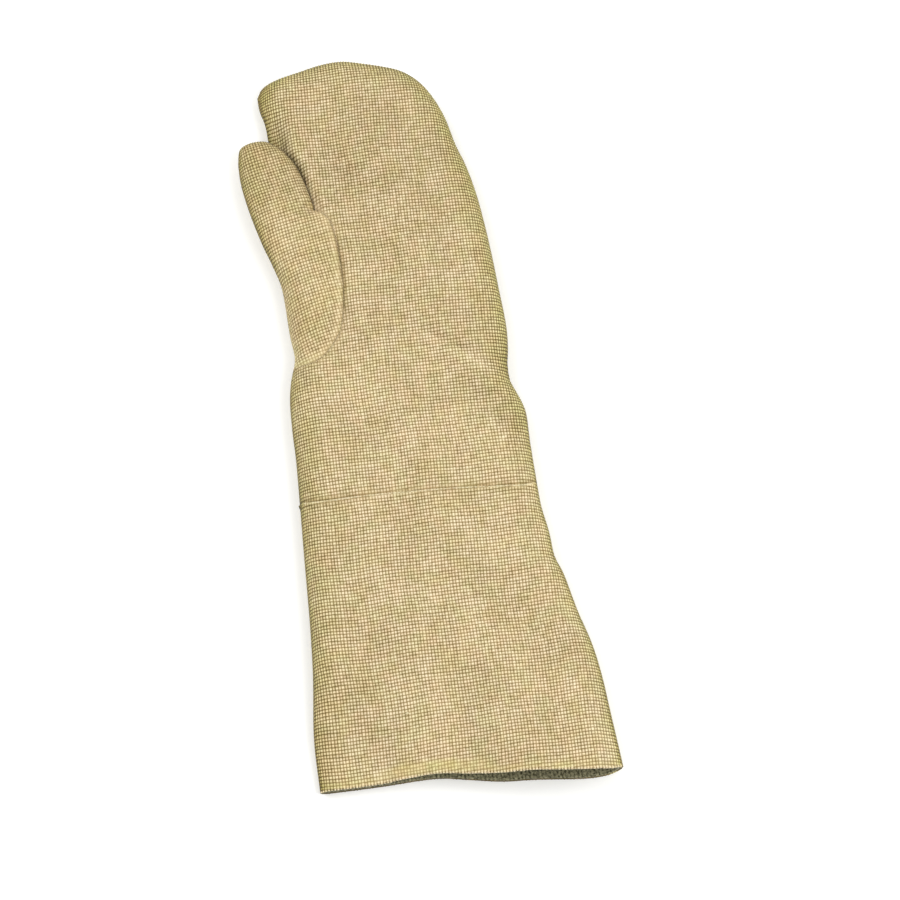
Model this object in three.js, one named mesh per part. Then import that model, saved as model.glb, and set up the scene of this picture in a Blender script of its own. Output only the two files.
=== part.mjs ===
// A long work mitten for the left hand, sewn from a coarse plain woven cloth, lying palm up.
// Millimetres. +X runs across the palm away from the thumb, +Y along the straight threads to the
// fingertips and +Z up. The origin is under the middle of the mitten, on the surface it lies on.
import * as THREE from "three";

// Cloth and seams
const CLOTH = 2.4; // thickness of the woven outer cloth
const FELT = 1.8; // thickness of the felt lining in the cuff
const GAP = 0.3; // clearance between pieces that are sewn together
const LINING_SET_BACK = 1.2; // the felt ends this far inside the mouth
const GROOVE = 1.6; // how deep the thumb seam pulls the cloth in
const GROOVE_WIDTH = 5;
const THUMB_LIFT = 0.6; // the thumb's cloth stands this much proud of the palm at their seam

// Where the cloth rolls over at the edges
const LEAST_SLANT = 0.7; // slanted ends of the cloth are at most 1 / this times its thickness long
const ROLL_POWER = 2.3; // shape of the roll: 2 is an ellipse, more is squarer
const UNDER_ROLL = 13; // width of the roll between a side seam and the flat underside

// The mouth of the cuff stands open, and closes down to the body's height this far up the cuff
const MOUTH_LINE = -290;
const MOUTH_REACH = 125;

// The margin of the palm lies flattened under the thumb
const BED_TOP = 14.5;
const BED_CLEAR = 1.5; // the thumb's underside stays this far off it
const BED_INNER = -2; // the palm climbs back to its full height between these two, past the crevice
const BED_OUTER = 12;
const BED_FROM = 140; // the bed fades in between these two places along the palm
const BED_FULL = 174;
const BED_LAST = 226; // and out again between these two
const BED_END = 258;

// The thumb tube, above the crotch
const THUMB_FREE_FROM = 92; // the thumb's form takes over from the palm's between these two
const THUMB_FREE_FULL = 165;
const THUMB_CROWN = 32.5; // height of its top above the surface, at THUMB_AXIS_X
const THUMB_AXIS_X = -88;
const THUMB_TILT = 0.12; // the top climbs towards the palm by this much per millimetre
const THUMB_TIP_DROP = 4; // and falls by this much from the crotch to the tip
const THUMB_UNDER_HIGH = 15.4; // its underside, over the palm's margin
const THUMB_UNDER_LOW = 5.5; // its underside, where it hangs out past the hand
const THUMB_UNDER_OUTER_X = -114; // the underside climbs between these two
const THUMB_UNDER_INNER_X = -80;
const THUMB_ROLL = 17;
const THUMB_SEAM_BLEND = 16;
const CROTCH_LAP = 2; // at the side crotch the thumb's cloth lies this far above the palm's
const SEAM_LAP = 0.6; // and this far at the crotch

// Facets along and across each piece
const HAND_ACROSS = 16;
const WRIST_STEPS = 5; // from the wrist to the foot of the thumb
const BACK_STEPS = 6; // from there to the side crotch
const FINGER_STEPS = 9; // from there to the fingertips
const CUFF_ACROSS = 16;
const CUFF_ALONG = 15;
const THUMB_FOOT_STEPS = 8; // round the foot of the thumb, and across it
const THUMB_SEAM_STEPS = 11; // up the thumb seam to the crotch
const THUMB_FREE_STEPS = 5; // from the crotch to the thumb's tip
const THUMB_LEAVES_ROW = 4; // the row from which its outer side leaves the side seam
const WEDGE_STEPS = 3; // across the strip between its outer side and the side seam
const CROTCH_STEPS = 5; // from the side crotch to the crotch

const FINISHES = {
  cloth: { color: 0xcab78a, roughness: 0.95 },
  thumbCloth: { color: 0xc1ad82, roughness: 0.95 },
  felt: { color: 0x5f5c4b, roughness: 1 },
};

const table = (columns, ...rows) =>
  rows.map((row) => Object.fromEntries(columns.map((name, k) => [name, row[k]])));

// Corners where the edges of the panels meet
const MOUTH_THUMB = [-108.6, -280];
const MOUTH_OUTER = [115.2, -288.5];
const WRIST_THUMB = [-99, -60.5];
const WRIST_OUTER = [80, -65.5];
const THUMB_FOOT = [-92.9, 44]; // where the thumb seam starts at the side seam
const SEAM_TURN = [-60.4, 56.5]; // where it turns up the palm
const CROTCH = [-62, 169.2];
const SIDE_CROTCH = [-91.5, 176];
const TIP_CORNER = [-95.7, 268];
const SHOULDER = [35, 262.5];
const THUMB_TIP_OUTER = [-116, 215];
const THUMB_TIP_INNER = [-79.5, 219];

// Plan points of the edges and seams, in order along each
const EDGES = {
  cuffThumbSide: table(["x", "y"], MOUTH_THUMB, [-108.7, -240], [-104, -191], [-101.8, -151],
    [-100.4, -102], WRIST_THUMB),
  handThumbSide: table(["x", "y"], WRIST_THUMB, [-98, -24], [-98.2, 0], [-97.2, 24],
    [-95.1, 36], THUMB_FOOT),
  underThumb: table(["x", "y"], THUMB_FOOT, [-90, 54.5], [-91.5, 73], [-92.3, 93.3], [-92.5, 125],
    SIDE_CROTCH),
  besideFingers: table(["x", "y"], SIDE_CROTCH, [-90.7, 205], [-90.9, 234], [-91.9, 248],
    [-94.6, 259], TIP_CORNER),
  fingertips: table(["x", "y"], TIP_CORNER, [-91.2, 274.6], [-80.5, 280], [-60, 286.8], [-44, 291],
    [-28.3, 292], [-13, 288.8], [17, 278.9], [29, 269.8], SHOULDER),
  handOuterSide: table(["x", "y"], WRIST_OUTER, [79, -32], [78.7, -7], [75.2, 4.7], [70.4, 17],
    [69.8, 30], [71.8, 44], [72.8, 60], [71, 91.6], [67.5, 138], [63.1, 173], [57.2, 199],
    [53, 211], [47.5, 235], [41, 252], SHOULDER),
  cuffOuterSide: table(["x", "y"], MOUTH_OUTER, [111.4, -247], [108.5, -216], [104.6, -193],
    [97.4, -167], [90.4, -136], [86, -124], [84.2, -104], [80.9, -83], WRIST_OUTER),
  wrist: table(["x", "y"], WRIST_THUMB, [-87, -63.6], [-56, -63.6], [-19, -64.3], [20, -65.8],
    [56, -68.6], [70, -69], WRIST_OUTER),
  mouth: table(["x", "y"], MOUTH_THUMB, [-64, -279.6], [-21, -278.6], [3, -282.5], [26, -286.5],
    [50, -288], [90, -291.8], [104, -291], MOUTH_OUTER),
  thumbSeamFoot: table(["x", "y"], THUMB_FOOT, [-86, 44], [-74.4, 45.5], [-67.1, 49.7], SEAM_TURN),
  thumbSeamSide: table(["x", "y"], SEAM_TURN, [-53.3, 67.3], [-48.1, 92.5], [-47, 115],
    [-48.4, 139.7], [-51.2, 155.6], [-54.5, 161], CROTCH),
  crotchSeam: table(["x", "y"], CROTCH, SIDE_CROTCH),
  crevice: table(["x", "y"], CROTCH, [-66.8, 190], [-71.7, 206], THUMB_TIP_INNER),
  thumbTip: table(["x", "y"], THUMB_TIP_OUTER, [-113.2, 227.2], [-106.6, 230.6], [-99, 231],
    [-92, 229.3], [-86, 225], THUMB_TIP_INNER),
  thumbOuterSide: table(["x", "y"], THUMB_FOOT, [-90, 54.5], [-91.5, 73], [-92.3, 93.3],
    [-93.9, 113.8], [-98.9, 130.7], [-104.7, 147.8], [-111.2, 173.2], [-115.5, 198.5],
    THUMB_TIP_OUTER),
};

// How far up the outer side of the hand the rows from each corner end, as a share of its length
const REACH = { foot: 0.27, turn: 0.33, crotch: 0.68, sideCrotch: 0.73, backFoot: 0.32 };
const RELAX_PASSES = 4;
const THUMB_REACH = 0.757; // how far up the thumb's outer side the row from the crotch ends
const BOW_REACH = 0.45; // rows follow the curve across a panel's end over this share of it

// Heights along the mitten: the crown, the two side seams, and the widths of the rolls beside them
const SECTIONS = table(["y", "crown", "thumbSeam", "outerFold", "thumbRoll", "outerRoll"],
  [-292, 27, 5.5, 11, 9, 11],
  [-230, 27, 7, 11, 14, 18],
  [-160, 27, 8.5, 11, 20, 22],
  [-64, 29, 9.5, 10.5, 24, 22],
  [20, 31, 10, 10, 26, 22],
  [110, 33, 10, 10, 28, 24],
  [190, 31, 9.5, 10, 34, 25],
  [292, 27, 9, 9.5, 22, 24]);

// Height of the upper cloth across the mouth: nipped flat at the thumb side, standing open beyond
const MOUTH_TOP = table(["x", "z"],
  [-109, 11], [-64, 11.5], [-46, 17], [-22, 21], [2, 25.5], [27, 35], [48, 38], [68, 37],
  [86, 37], [97, 33], [106, 24], [116, 17]);

// Soft dents: centre, half length along a direction turned from +X, half width, and depth
const DENTS = table(["x", "y", "length", "width", "turn", "depth"],
  [70, 27, 17, 9, 100, 5],
  [49, -2, 27, 9, -35, 3.2],
  [-48, 212, 30, 16, -73, 3],
  [-22, 120, 20, 62, 4, 1.6],
  [22, 205, 46, 20, 60, 1.8],
  [-30, -20, 60, 22, 8, 1.5],
  [10, -150, 26, 60, 0, 2.2],
  [-66, -150, 16, 70, 3, 1.4],
  [66, -205, 14, 46, 12, 2]);

const { lerp, clamp, degToRad } = THREE.MathUtils;
const smooth = (from, to, value) => THREE.MathUtils.smoothstep(value, from, to);
const plan = (x, y, z = 0) => new THREE.Vector3(x, y, z);

// The rise of a rolled edge: 0 at the edge, 1 at the given width inside it
function rise(distance, width) {
  const left = 1 - clamp(distance / width, 0, 1);
  return (1 - left ** ROLL_POWER) ** (1 / ROLL_POWER);
}

// A smooth curve of one column of a table over another
function smoothColumn(rows, input, output) {
  const slope = (k) => {
    const [a, b] = [rows[Math.max(k - 1, 0)], rows[Math.min(k + 1, rows.length - 1)]];
    return (b[output] - a[output]) / (b[input] - a[input]);
  };
  return (value) => {
    const v = clamp(value, rows[0][input], rows.at(-1)[input]);
    let k = 0;
    while (k < rows.length - 2 && v > rows[k + 1][input]) k += 1;
    const [a, b] = [rows[k], rows[k + 1]];
    const span = b[input] - a[input];
    const t = (v - a[input]) / span;
    return (2 * t ** 3 - 3 * t ** 2 + 1) * a[output] + (t ** 3 - 2 * t ** 2 + t) * span * slope(k)
      + (3 * t ** 2 - 2 * t ** 3) * b[output] + (t ** 3 - t ** 2) * span * slope(k + 1);
  };
}

const curves = Object.fromEntries(Object.entries(EDGES).map(([name, rows]) => [name,
  new THREE.CatmullRomCurve3(rows.map(({ x, y }) => plan(x, y)), false, "centripetal")]));

const POLYLINE_STEPS = 40;
const ON_THE_LINE = 0.3; // points this close to an edge count as lying on it
const polyline = (...names) => names.flatMap((name) => curves[name].getSpacedPoints(POLYLINE_STEPS));
const THUMB_SIDE = polyline("cuffThumbSide", "handThumbSide", "underThumb", "besideFingers");
const OUTER_SIDE = [...polyline("fingertips"), ...polyline("handOuterSide").reverse(),
  ...polyline("cuffOuterSide").reverse()];
const THUMB_SEAM = polyline("thumbSeamFoot", "thumbSeamSide");
const THUMB_FREE_EDGE = [...polyline("thumbOuterSide", "thumbTip"), ...polyline("crevice").reverse()];

function distanceTo(line, x, y) {
  let best = Infinity;
  for (let k = 1; k < line.length; k += 1) {
    const [a, b] = [line[k - 1], line[k]];
    const [dx, dy] = [b.x - a.x, b.y - a.y];
    const t = clamp(((x - a.x) * dx + (y - a.y) * dy) / (dx * dx + dy * dy || 1), 0, 1);
    best = Math.min(best, Math.hypot(x - a.x - t * dx, y - a.y - t * dy));
  }
  return Math.max(best - ON_THE_LINE, 0);
}

const section = Object.fromEntries(Object.keys(SECTIONS[0]).filter((name) => name !== "y")
  .map((name) => [name, smoothColumn(SECTIONS, "y", name)]));
const mouthTop = smoothColumn(MOUTH_TOP, "x", "z");
const creviceX = smoothColumn(EDGES.crevice, "y", "x");

// Height of the seam between the upper and the lower cloth
const seamHeight = (x, y) =>
  lerp(section.thumbSeam(y), section.outerFold(y), smooth(WRIST_THUMB[0], WRIST_OUTER[0], x));

function dents(x, y) {
  return DENTS.reduce((sum, dent) => {
    const [cos, sin] = [Math.cos(degToRad(dent.turn)), Math.sin(degToRad(dent.turn))];
    const [dx, dy] = [x - dent.x, y - dent.y];
    const along = (dx * cos + dy * sin) / dent.length;
    const across = (dy * cos - dx * sin) / dent.width;
    return sum + dent.depth * Math.exp(-along * along - across * across);
  }, 0);
}

// How far the palm is pressed down by the thumb lying on it, from 0 to 1
const bedShare = (x, y) => (1 - smooth(BED_INNER, BED_OUTER, x - creviceX(y)))
  * smooth(BED_FROM, BED_FULL, y) * (1 - smooth(BED_LAST, BED_END, y));

function crown(x, y) {
  const open = 1 - smooth(MOUTH_LINE, MOUTH_LINE + MOUTH_REACH, y);
  const height = lerp(section.crown(y) - dents(x, y), mouthTop(x), open);
  return lerp(height, BED_TOP, bedShare(x, y));
}

// The rolls beside both side seams, for a face that lies `inset` inside the outer one
const rolls = (x, y, thumbWidth, outerWidth, inset) =>
  rise(distanceTo(THUMB_SIDE, x, y) - inset, thumbWidth - inset)
  * rise(distanceTo(OUTER_SIDE, x, y) - inset, outerWidth - inset);

function upperHeight(x, y, inset = 0, gap = 0) {
  const seam = seamHeight(x, y) + gap;
  return seam + (crown(x, y) - seam - inset)
    * rolls(x, y, section.thumbRoll(y), section.outerRoll(y), inset);
}

function lowerHeight(x, y, inset = 0, gap = 0) {
  const seam = seamHeight(x, y) - gap;
  const width = Math.min(UNDER_ROLL, section.thumbRoll(y));
  return seam - (seam - inset) * rolls(x, y, width, UNDER_ROLL, inset);
}

function palmHeight(x, y) {
  const pull = Math.exp(-((distanceTo(THUMB_SEAM, x, y) / GROOVE_WIDTH) ** 2));
  const inside = clamp(distanceTo(THUMB_SIDE, x, y) / GROOVE_WIDTH, 0, 1);
  return upperHeight(x, y, 0, GAP / 2) - GROOVE * pull * inside;
}

// The thumb is a tube that grows out of the palm's thumb side. Its top and bottom meet at `edge`.
function thumbHeights(x, y) {
  const free = smooth(THUMB_FREE_FROM, THUMB_FREE_FULL, y);
  const tube = THUMB_CROWN + THUMB_TILT * (x - THUMB_AXIS_X)
    - THUMB_TIP_DROP * smooth(CROTCH[1], THUMB_TIP_OUTER[1], y);
  const under = lerp(THUMB_UNDER_LOW, THUMB_UNDER_HIGH,
    smooth(THUMB_UNDER_OUTER_X, THUMB_UNDER_INNER_X, x));
  const roll = lerp(section.thumbRoll(y), THUMB_ROLL, free);
  const palm = palmHeight(x, y);
  const atSeam = palm + THUMB_LIFT * rise(distanceTo(THUMB_SIDE, x, y), roll);
  const offSeam = rise(distanceTo(THUMB_SEAM, x, y), THUMB_SEAM_BLEND);
  const offEdge = distanceTo(THUMB_FREE_EDGE, x, y);
  const freeEdge = lerp(seamHeight(x, y) + GAP / 2, (tube + under) / 2, free);
  const crest = lerp(section.crown(y) - dents(x, y), tube, free);
  const form = freeEdge + (crest - freeEdge) * rise(offEdge, roll);
  const edge = lerp(atSeam, freeEdge, offSeam);
  const bottom = edge + (under - edge) * rise(offEdge, THUMB_ROLL);
  const isOverPalm = x > SIDE_CROTCH[0];
  return {
    edge,
    top: lerp(atSeam, form, offSeam),
    bottom: isOverPalm ? Math.max(bottom, palm + BED_CLEAR) : bottom,
  };
}

// An open sheet of triangles, whose grids are welded where they share points
class Sheet {
  constructor() {
    this.points = [];
    this.faces = [];
    this.known = new Map();
  }

  vertex(point) {
    const key = [point.x, point.y, point.z].map((v) => Math.round(v * 1e4)).join();
    if (!this.known.has(key)) {
      this.known.set(key, this.points.length);
      this.points.push(point);
    }
    return this.known.get(key);
  }

  // Rows run up the mitten and each row runs towards +X; a lower face is turned over
  grid(rows, lower = false) {
    const ids = rows.map((row) => row.map((point) => this.vertex(point)));
    for (let i = 1; i < ids.length; i += 1) {
      for (let j = 1; j < ids[i].length; j += 1) {
        const [a, b, c, d] = [ids[i - 1][j - 1], ids[i - 1][j], ids[i][j], ids[i][j - 1]];
        for (const face of [[a, b, c], [a, c, d]]) {
          if (new Set(face).size === 3) this.faces.push(lower ? face.reverse() : face);
        }
      }
    }
    return this;
  }

  // Edges that only one triangle has, in its own direction, each with its opposite corner
  rims() {
    const edges = this.faces.flatMap(([a, b, c]) => [[a, b, c], [b, c, a], [c, a, b]]);
    const all = new Set(edges.map(([a, b]) => `${a} ${b}`));
    return edges.filter(([a, b]) => !all.has(`${b} ${a}`));
  }

  normals() {
    const sums = this.points.map(() => plan(0, 0));
    for (const face of this.faces) {
      const [a, b, c] = face.map((id) => this.points[id]);
      const normal = new THREE.Vector3().subVectors(b, a)
        .cross(new THREE.Vector3().subVectors(c, a)).normalize();
      face.forEach((id, k) => {
        const [here, next, last] = [0, 1, 2].map((step) => this.points[face[(k + step) % 3]]);
        const turn = new THREE.Vector3().subVectors(next, here)
          .angleTo(new THREE.Vector3().subVectors(last, here));
        sums[id].addScaledVector(normal, turn);
      });
    }
    return sums.map((sum) => sum.normalize());
  }
}

const isOnSideSeam = ({ x, y }) => !distanceTo(THUMB_SIDE, x, y) || !distanceTo(OUTER_SIDE, x, y);
const HAND_MIDDLE = plan(-10, 100); // every side seam of the hand faces away from here

// Inner points of a sheet of cloth. Along a side seam the end face of the cloth is level, and
// along any other seam it doesn't lean over the seam.
function innerFace(sheet, thickness) {
  const sideWalls = sheet.points.map(() => plan(0, 0));
  const otherWalls = sheet.points.map(() => []);
  for (const [a, b, c] of sheet.rims()) {
    const [from, to, opposite] = [a, b, c].map((id) => sheet.points[id]);
    const isLevel = isOnSideSeam(from) && isOnSideSeam(to);
    const inside = isLevel ? HAND_MIDDLE : opposite;
    const wall = plan(to.y - from.y, from.x - to.x).normalize();
    if (wall.dot(plan(inside.x - from.x, inside.y - from.y)) > 0) wall.negate();
    for (const id of [a, b]) {
      if (isLevel) sideWalls[id].add(wall);
      else otherWalls[id].push(wall);
    }
  }
  return sheet.normals().map((normal, id) => {
    const isLevel = sideWalls[id].length() > 0;
    const outward = (isLevel ? sideWalls[id] : normal).clone();
    for (const wall of otherWalls[id]) {
      outward.addScaledVector(wall, -Math.min(outward.dot(wall), 0));
    }
    outward.normalize();
    const slant = isLevel ? 1 : Math.max(outward.dot(normal), LEAST_SLANT);
    return sheet.points[id].clone().addScaledVector(outward, -thickness / slant);
  });
}

// One closed body between a sheet and the inner points that answer to its own
function closedBody(sheet, inner) {
  const count = sheet.points.length;
  const rims = sheet.rims().flatMap(([a, b]) => [[b, a, a + count], [b, a + count, b + count]]);
  const lining = sheet.faces.map(([a, b, c]) => [a + count, c + count, b + count]);
  const positions = [...sheet.points, ...inner].flatMap((point) => point.toArray());
  const geometry = new THREE.BufferGeometry();
  geometry.setAttribute("position", new THREE.Float32BufferAttribute(positions, 3));
  geometry.setIndex([...sheet.faces, ...lining, ...rims].flat());
  geometry.computeVertexNormals();
  return geometry;
}

// Shares of a length: even, closer together at both ends, between these two, or closer at the end
const evenly = (count) => Array.from({ length: count + 1 }, (_, k) => k / count);
const closeAtEnds = (count) => evenly(count).map((share) => (1 - Math.cos(share * Math.PI)) / 2);
const eased = (count) => closeAtEnds(count).map((share, k) => (share + k / count) / 2);
const closing = (count) => evenly(count).map((share) => Math.sin((share * Math.PI) / 2));

const along = (name) => (share) => curves[name].getPointAt(share);
const pointsOn = (name, shares) => shares.map(along(name));

// Plan points between two sides, which follow the curves across the ends of the patch near them
function patch(rows, bottom, top, shares) {
  const bow = (curve, s) => curve(s).sub(curve(0).lerp(curve(1), s));
  return rows.map(({ left, right, t }) => shares.map((s) => left.clone().lerp(right, s)
    .addScaledVector(bow(bottom, s), Math.max(0, 1 - t / BOW_REACH) ** 2)
    .addScaledVector(bow(top, s), Math.max(0, 1 - (1 - t) / BOW_REACH) ** 2)));
}

const raise = (rows, height) => rows.map((row) => row.map(({ x, y }) => plan(x, y, height(x, y))));

// The seam round the thumb's opening, moved off by half the gap to the palm's side or the thumb's
function openingEdge(side) {
  const seam = [
    ...pointsOn("thumbSeamFoot", eased(THUMB_FOOT_STEPS)),
    ...pointsOn("thumbSeamSide", evenly(THUMB_SEAM_STEPS)).slice(1),
    ...pointsOn("crotchSeam", evenly(CROTCH_STEPS)).slice(1)];
  return seam.map((point, k) => {
    const course = seam[Math.min(k + 1, seam.length - 1)].clone().sub(seam[Math.max(k - 1, 0)]);
    return point.clone().addScaledVector(plan(course.y, -course.x).normalize(), (side * GAP) / 2);
  });
}

// Plan rows of a hand panel from the wrist to the fingertips, from the stretches of its thumb side
function handPanel(...stretches) {
  let start = 0;
  const rows = stretches.flatMap(({ points, shares, reach }) => {
    const stretch = points.map((left, k) => {
      const t = lerp(start, reach, shares[k]);
      return { left, right: along("handOuterSide")(t), t };
    });
    const isFirst = start === 0;
    start = reach;
    return isFirst ? stretch : stretch.slice(1);
  });
  const grid = patch(rows, along("wrist"), along("fingertips"), closeAtEnds(HAND_ACROSS));
  grid[0].forEach((point) => point.setY(point.y + GAP / 2));
  relaxOuterCorner(grid);
  return grid;
}

// The outer corner at the fingertips is nearly straight, so the points near it are spread inwards
function relaxOuterCorner(grid) {
  const near = [-2, -3, -4, -5];
  for (let pass = 0; pass < RELAX_PASSES; pass += 1) {
    for (const [i, j] of near.flatMap((row) => near.map((column) => [row, column]))) {
      const around = [grid.at(i - 1).at(j), grid.at(i + 1).at(j), grid.at(i).at(j - 1),
        grid.at(i).at(j + 1)];
      const middle = around.reduce((sum, point) => sum.add(point), plan(0, 0)).divideScalar(4);
      grid.at(i).at(j).copy(middle);
    }
  }
}

const stretchOf = (name, shares, reach) => ({ points: pointsOn(name, shares), shares, reach });
const besideFingers = stretchOf("besideFingers", closing(FINGER_STEPS), 1);

function palmPanel() {
  const opening = openingEdge(1);
  const turn = THUMB_FOOT_STEPS;
  const crotch = turn + THUMB_SEAM_STEPS;
  const rows = handPanel(stretchOf("handThumbSide", evenly(WRIST_STEPS), REACH.foot),
    { points: opening.slice(0, turn + 1), shares: evenly(THUMB_FOOT_STEPS), reach: REACH.turn },
    { points: opening.slice(turn, crotch + 1), shares: evenly(THUMB_SEAM_STEPS), reach: REACH.crotch },
    { points: opening.slice(crotch), shares: evenly(CROTCH_STEPS), reach: REACH.sideCrotch },
    besideFingers);
  const sheet = new Sheet().grid(raise(rows, palmHeight));
  return closedBody(sheet, innerFace(sheet, CLOTH));
}

function backPanel() {
  const rows = handPanel(stretchOf("handThumbSide", evenly(WRIST_STEPS), REACH.backFoot),
    stretchOf("underThumb", evenly(BACK_STEPS), REACH.sideCrotch), besideFingers);
  const sheet = new Sheet().grid(raise(rows, (x, y) => lowerHeight(x, y, 0, GAP / 2)), true);
  return closedBody(sheet, innerFace(sheet, CLOTH));
}

function thumb() {
  const opening = openingEdge(-1);
  const crotch = THUMB_SEAM_STEPS;
  const inner = [...opening.slice(THUMB_FOOT_STEPS, THUMB_FOOT_STEPS + crotch + 1),
    ...pointsOn("crevice", evenly(THUMB_FREE_STEPS)).slice(1)];
  const shareOf = (row) => (row < crotch ? (row / crotch) * THUMB_REACH
    : lerp(THUMB_REACH, 1, (row - crotch) / THUMB_FREE_STEPS));
  const rows = inner.map((right, k) => ({ left: along("thumbOuterSide")(shareOf(k)), right,
    t: shareOf(k) }));
  rows[0].left = opening[0];
  const grid = patch(rows, along("thumbSeamFoot"), along("thumbTip"), eased(THUMB_FOOT_STEPS));
  grid[0] = opening.slice(0, THUMB_FOOT_STEPS + 1);
  const heightOf = (face) => (x, y) => thumbHeights(x, y)[face];
  const top = raise(grid, heightOf("top"));

  // From the outer side in and under to the side seam, starting where the outer side leaves it
  const seamFrom = (shareOf(THUMB_LEAVES_ROW) * curves.thumbOuterSide.getLength())
    / curves.underThumb.getLength();
  const wedge = top.slice(THUMB_LEAVES_ROW, crotch + 1).map(([outer], k, all) => {
    const done = k / (all.length - 1);
    const seam = done < 1 ? along("underThumb")(lerp(seamFrom, 1, done)) : opening.at(-1).clone();
    seam.z = seamHeight(seam.x, seam.y) + GAP / 2 + (done < 1 ? 0 : CROTCH_LAP);
    return evenly(WEDGE_STEPS).map((share) => {
      const point = outer.clone().lerp(seam, share);
      return point.setZ(seam.z + (outer.z - seam.z) * (1 - rise(share, 1)));
    });
  });
  wedge[0].fill(top[THUMB_LEAVES_ROW][0]);

  // Across the palm's margin from the side crotch to the crotch, and from there up to the tip
  const margin = opening.slice(-CROTCH_STEPS - 1, -1).reverse().map(({ x, y }, k) =>
    plan(x, y, palmHeight(x, y) + lerp(CROTCH_LAP, SEAM_LAP, (k + 1) / CROTCH_STEPS)));
  margin[CROTCH_STEPS - 1] = top[crotch].at(-1);
  const under = [[...wedge.at(-1), ...margin], ...raise(grid.slice(crotch + 1), heightOf("bottom"))];
  const sheet = new Sheet().grid(top).grid(wedge, true).grid(under, true);
  return closedBody(sheet, innerFace(sheet, CLOTH));
}

// A sleeve in the cuff, between two insets from the cuff's outer face, set back from both its ends
function sleeve(outerInset, thickness, mouthSetBack, wristSetBack) {
  const length = MOUTH_THUMB[1] - WRIST_THUMB[1];
  const ring = (t, inset) => {
    const [left, right] = [along("cuffThumbSide")(t), along("cuffOuterSide")(t)];
    const edge = inset / left.distanceTo(right);
    const shares = closeAtEnds(CUFF_ACROSS).map((share) => lerp(edge, 1 - edge, share));
    const [row] = patch([{ left, right, t }], along("mouth"), along("wrist"), shares);
    const [upper] = raise([row], (x, y) => upperHeight(x, y, inset));
    const [lower] = raise([row], (x, y) => lowerHeight(x, y, inset));
    return [...lower, ...upper.slice(0, -1).reverse()];
  };
  const rings = (inset) => evenly(CUFF_ALONG)
    .map((share) => ring(lerp(-mouthSetBack, length + wristSetBack, share) / length, inset));
  const sheet = new Sheet().grid(rings(outerInset), true);
  const inner = new Sheet().grid(rings(outerInset + thickness), true);
  return closedBody(sheet, inner.points);
}

function piece(name, geometry, { color, roughness }) {
  const material = new THREE.MeshStandardMaterial({ color, roughness, metalness: 0 });
  const mesh = new THREE.Mesh(geometry, material);
  mesh.name = name;
  return mesh;
}

const mitten = new THREE.Group();
mitten.add(
  piece("palm_panel", palmPanel(), FINISHES.cloth),
  piece("back_panel", backPanel(), FINISHES.cloth),
  piece("thumb", thumb(), FINISHES.thumbCloth),
  piece("cuff", sleeve(0, CLOTH, 0, GAP / 2), FINISHES.cloth),
  piece("cuff_lining", sleeve(CLOTH + GAP, FELT, LINING_SET_BACK, LINING_SET_BACK), FINISHES.felt),
);

export default mitten;
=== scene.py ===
"""A long work mitten for the left hand, lying palm up with the mouth of its cuff standing open.

It is sewn from a coarse plain weave of straw-coloured yarn and its cuff is lined with dark felt.
Shapes are worked out in millimetres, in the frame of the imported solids, and turned to metres when
a mesh is made.
"""
import logging
import math
from dataclasses import dataclass
from enum import Enum
from typing import Callable, Iterable, Sequence

import bpy
import numpy as np
from mathutils import Matrix, Vector
from mathutils.geometry import delaunay_2d_cdt


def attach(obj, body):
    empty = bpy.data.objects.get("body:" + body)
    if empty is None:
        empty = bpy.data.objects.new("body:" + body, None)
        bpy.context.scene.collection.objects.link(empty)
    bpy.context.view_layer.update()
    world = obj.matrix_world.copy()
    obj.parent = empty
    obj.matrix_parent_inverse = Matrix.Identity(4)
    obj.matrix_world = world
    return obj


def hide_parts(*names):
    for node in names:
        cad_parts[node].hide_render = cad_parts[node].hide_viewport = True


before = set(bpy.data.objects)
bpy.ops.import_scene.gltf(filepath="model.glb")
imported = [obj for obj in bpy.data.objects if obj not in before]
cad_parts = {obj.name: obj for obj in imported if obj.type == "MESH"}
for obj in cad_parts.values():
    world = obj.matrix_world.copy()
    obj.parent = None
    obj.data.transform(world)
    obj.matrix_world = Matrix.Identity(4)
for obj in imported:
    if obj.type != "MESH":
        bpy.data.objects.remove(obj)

log = logging.getLogger("mitten")
Array = np.ndarray
Height = Callable[[Array, Array], Array]

MM = 0.001
CLOTH = 2.4  # thickness of the woven cloth
FELT = 1.8
GAP = 0.3  # clearance between the heights of pieces that are sewn together at the sides
SEWN = 0.1  # and between their edges where the seam shows from above
BATCH = 4096  # points that are worked on at a time, which bounds the memory

# Corners where the edges of the panels meet
MOUTH_THUMB = (-108.6, -280)
MOUTH_OUTER = (115.2, -288.5)
WRIST_THUMB = (-99, -60.5)
WRIST_OUTER = (80, -65.5)
THUMB_FOOT = (-92.9, 44)
SEAM_TURN = (-60.4, 56.5)
CROTCH = (-62, 169.2)
SIDE_CROTCH = (-91.5, 176)
TIP_CORNER = (-95.6, 270)
SHOULDER = (35, 262.5)
THUMB_TIP_OUTER = (-116, 215)
THUMB_TIP_INNER = (-79.5, 219)

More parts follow.
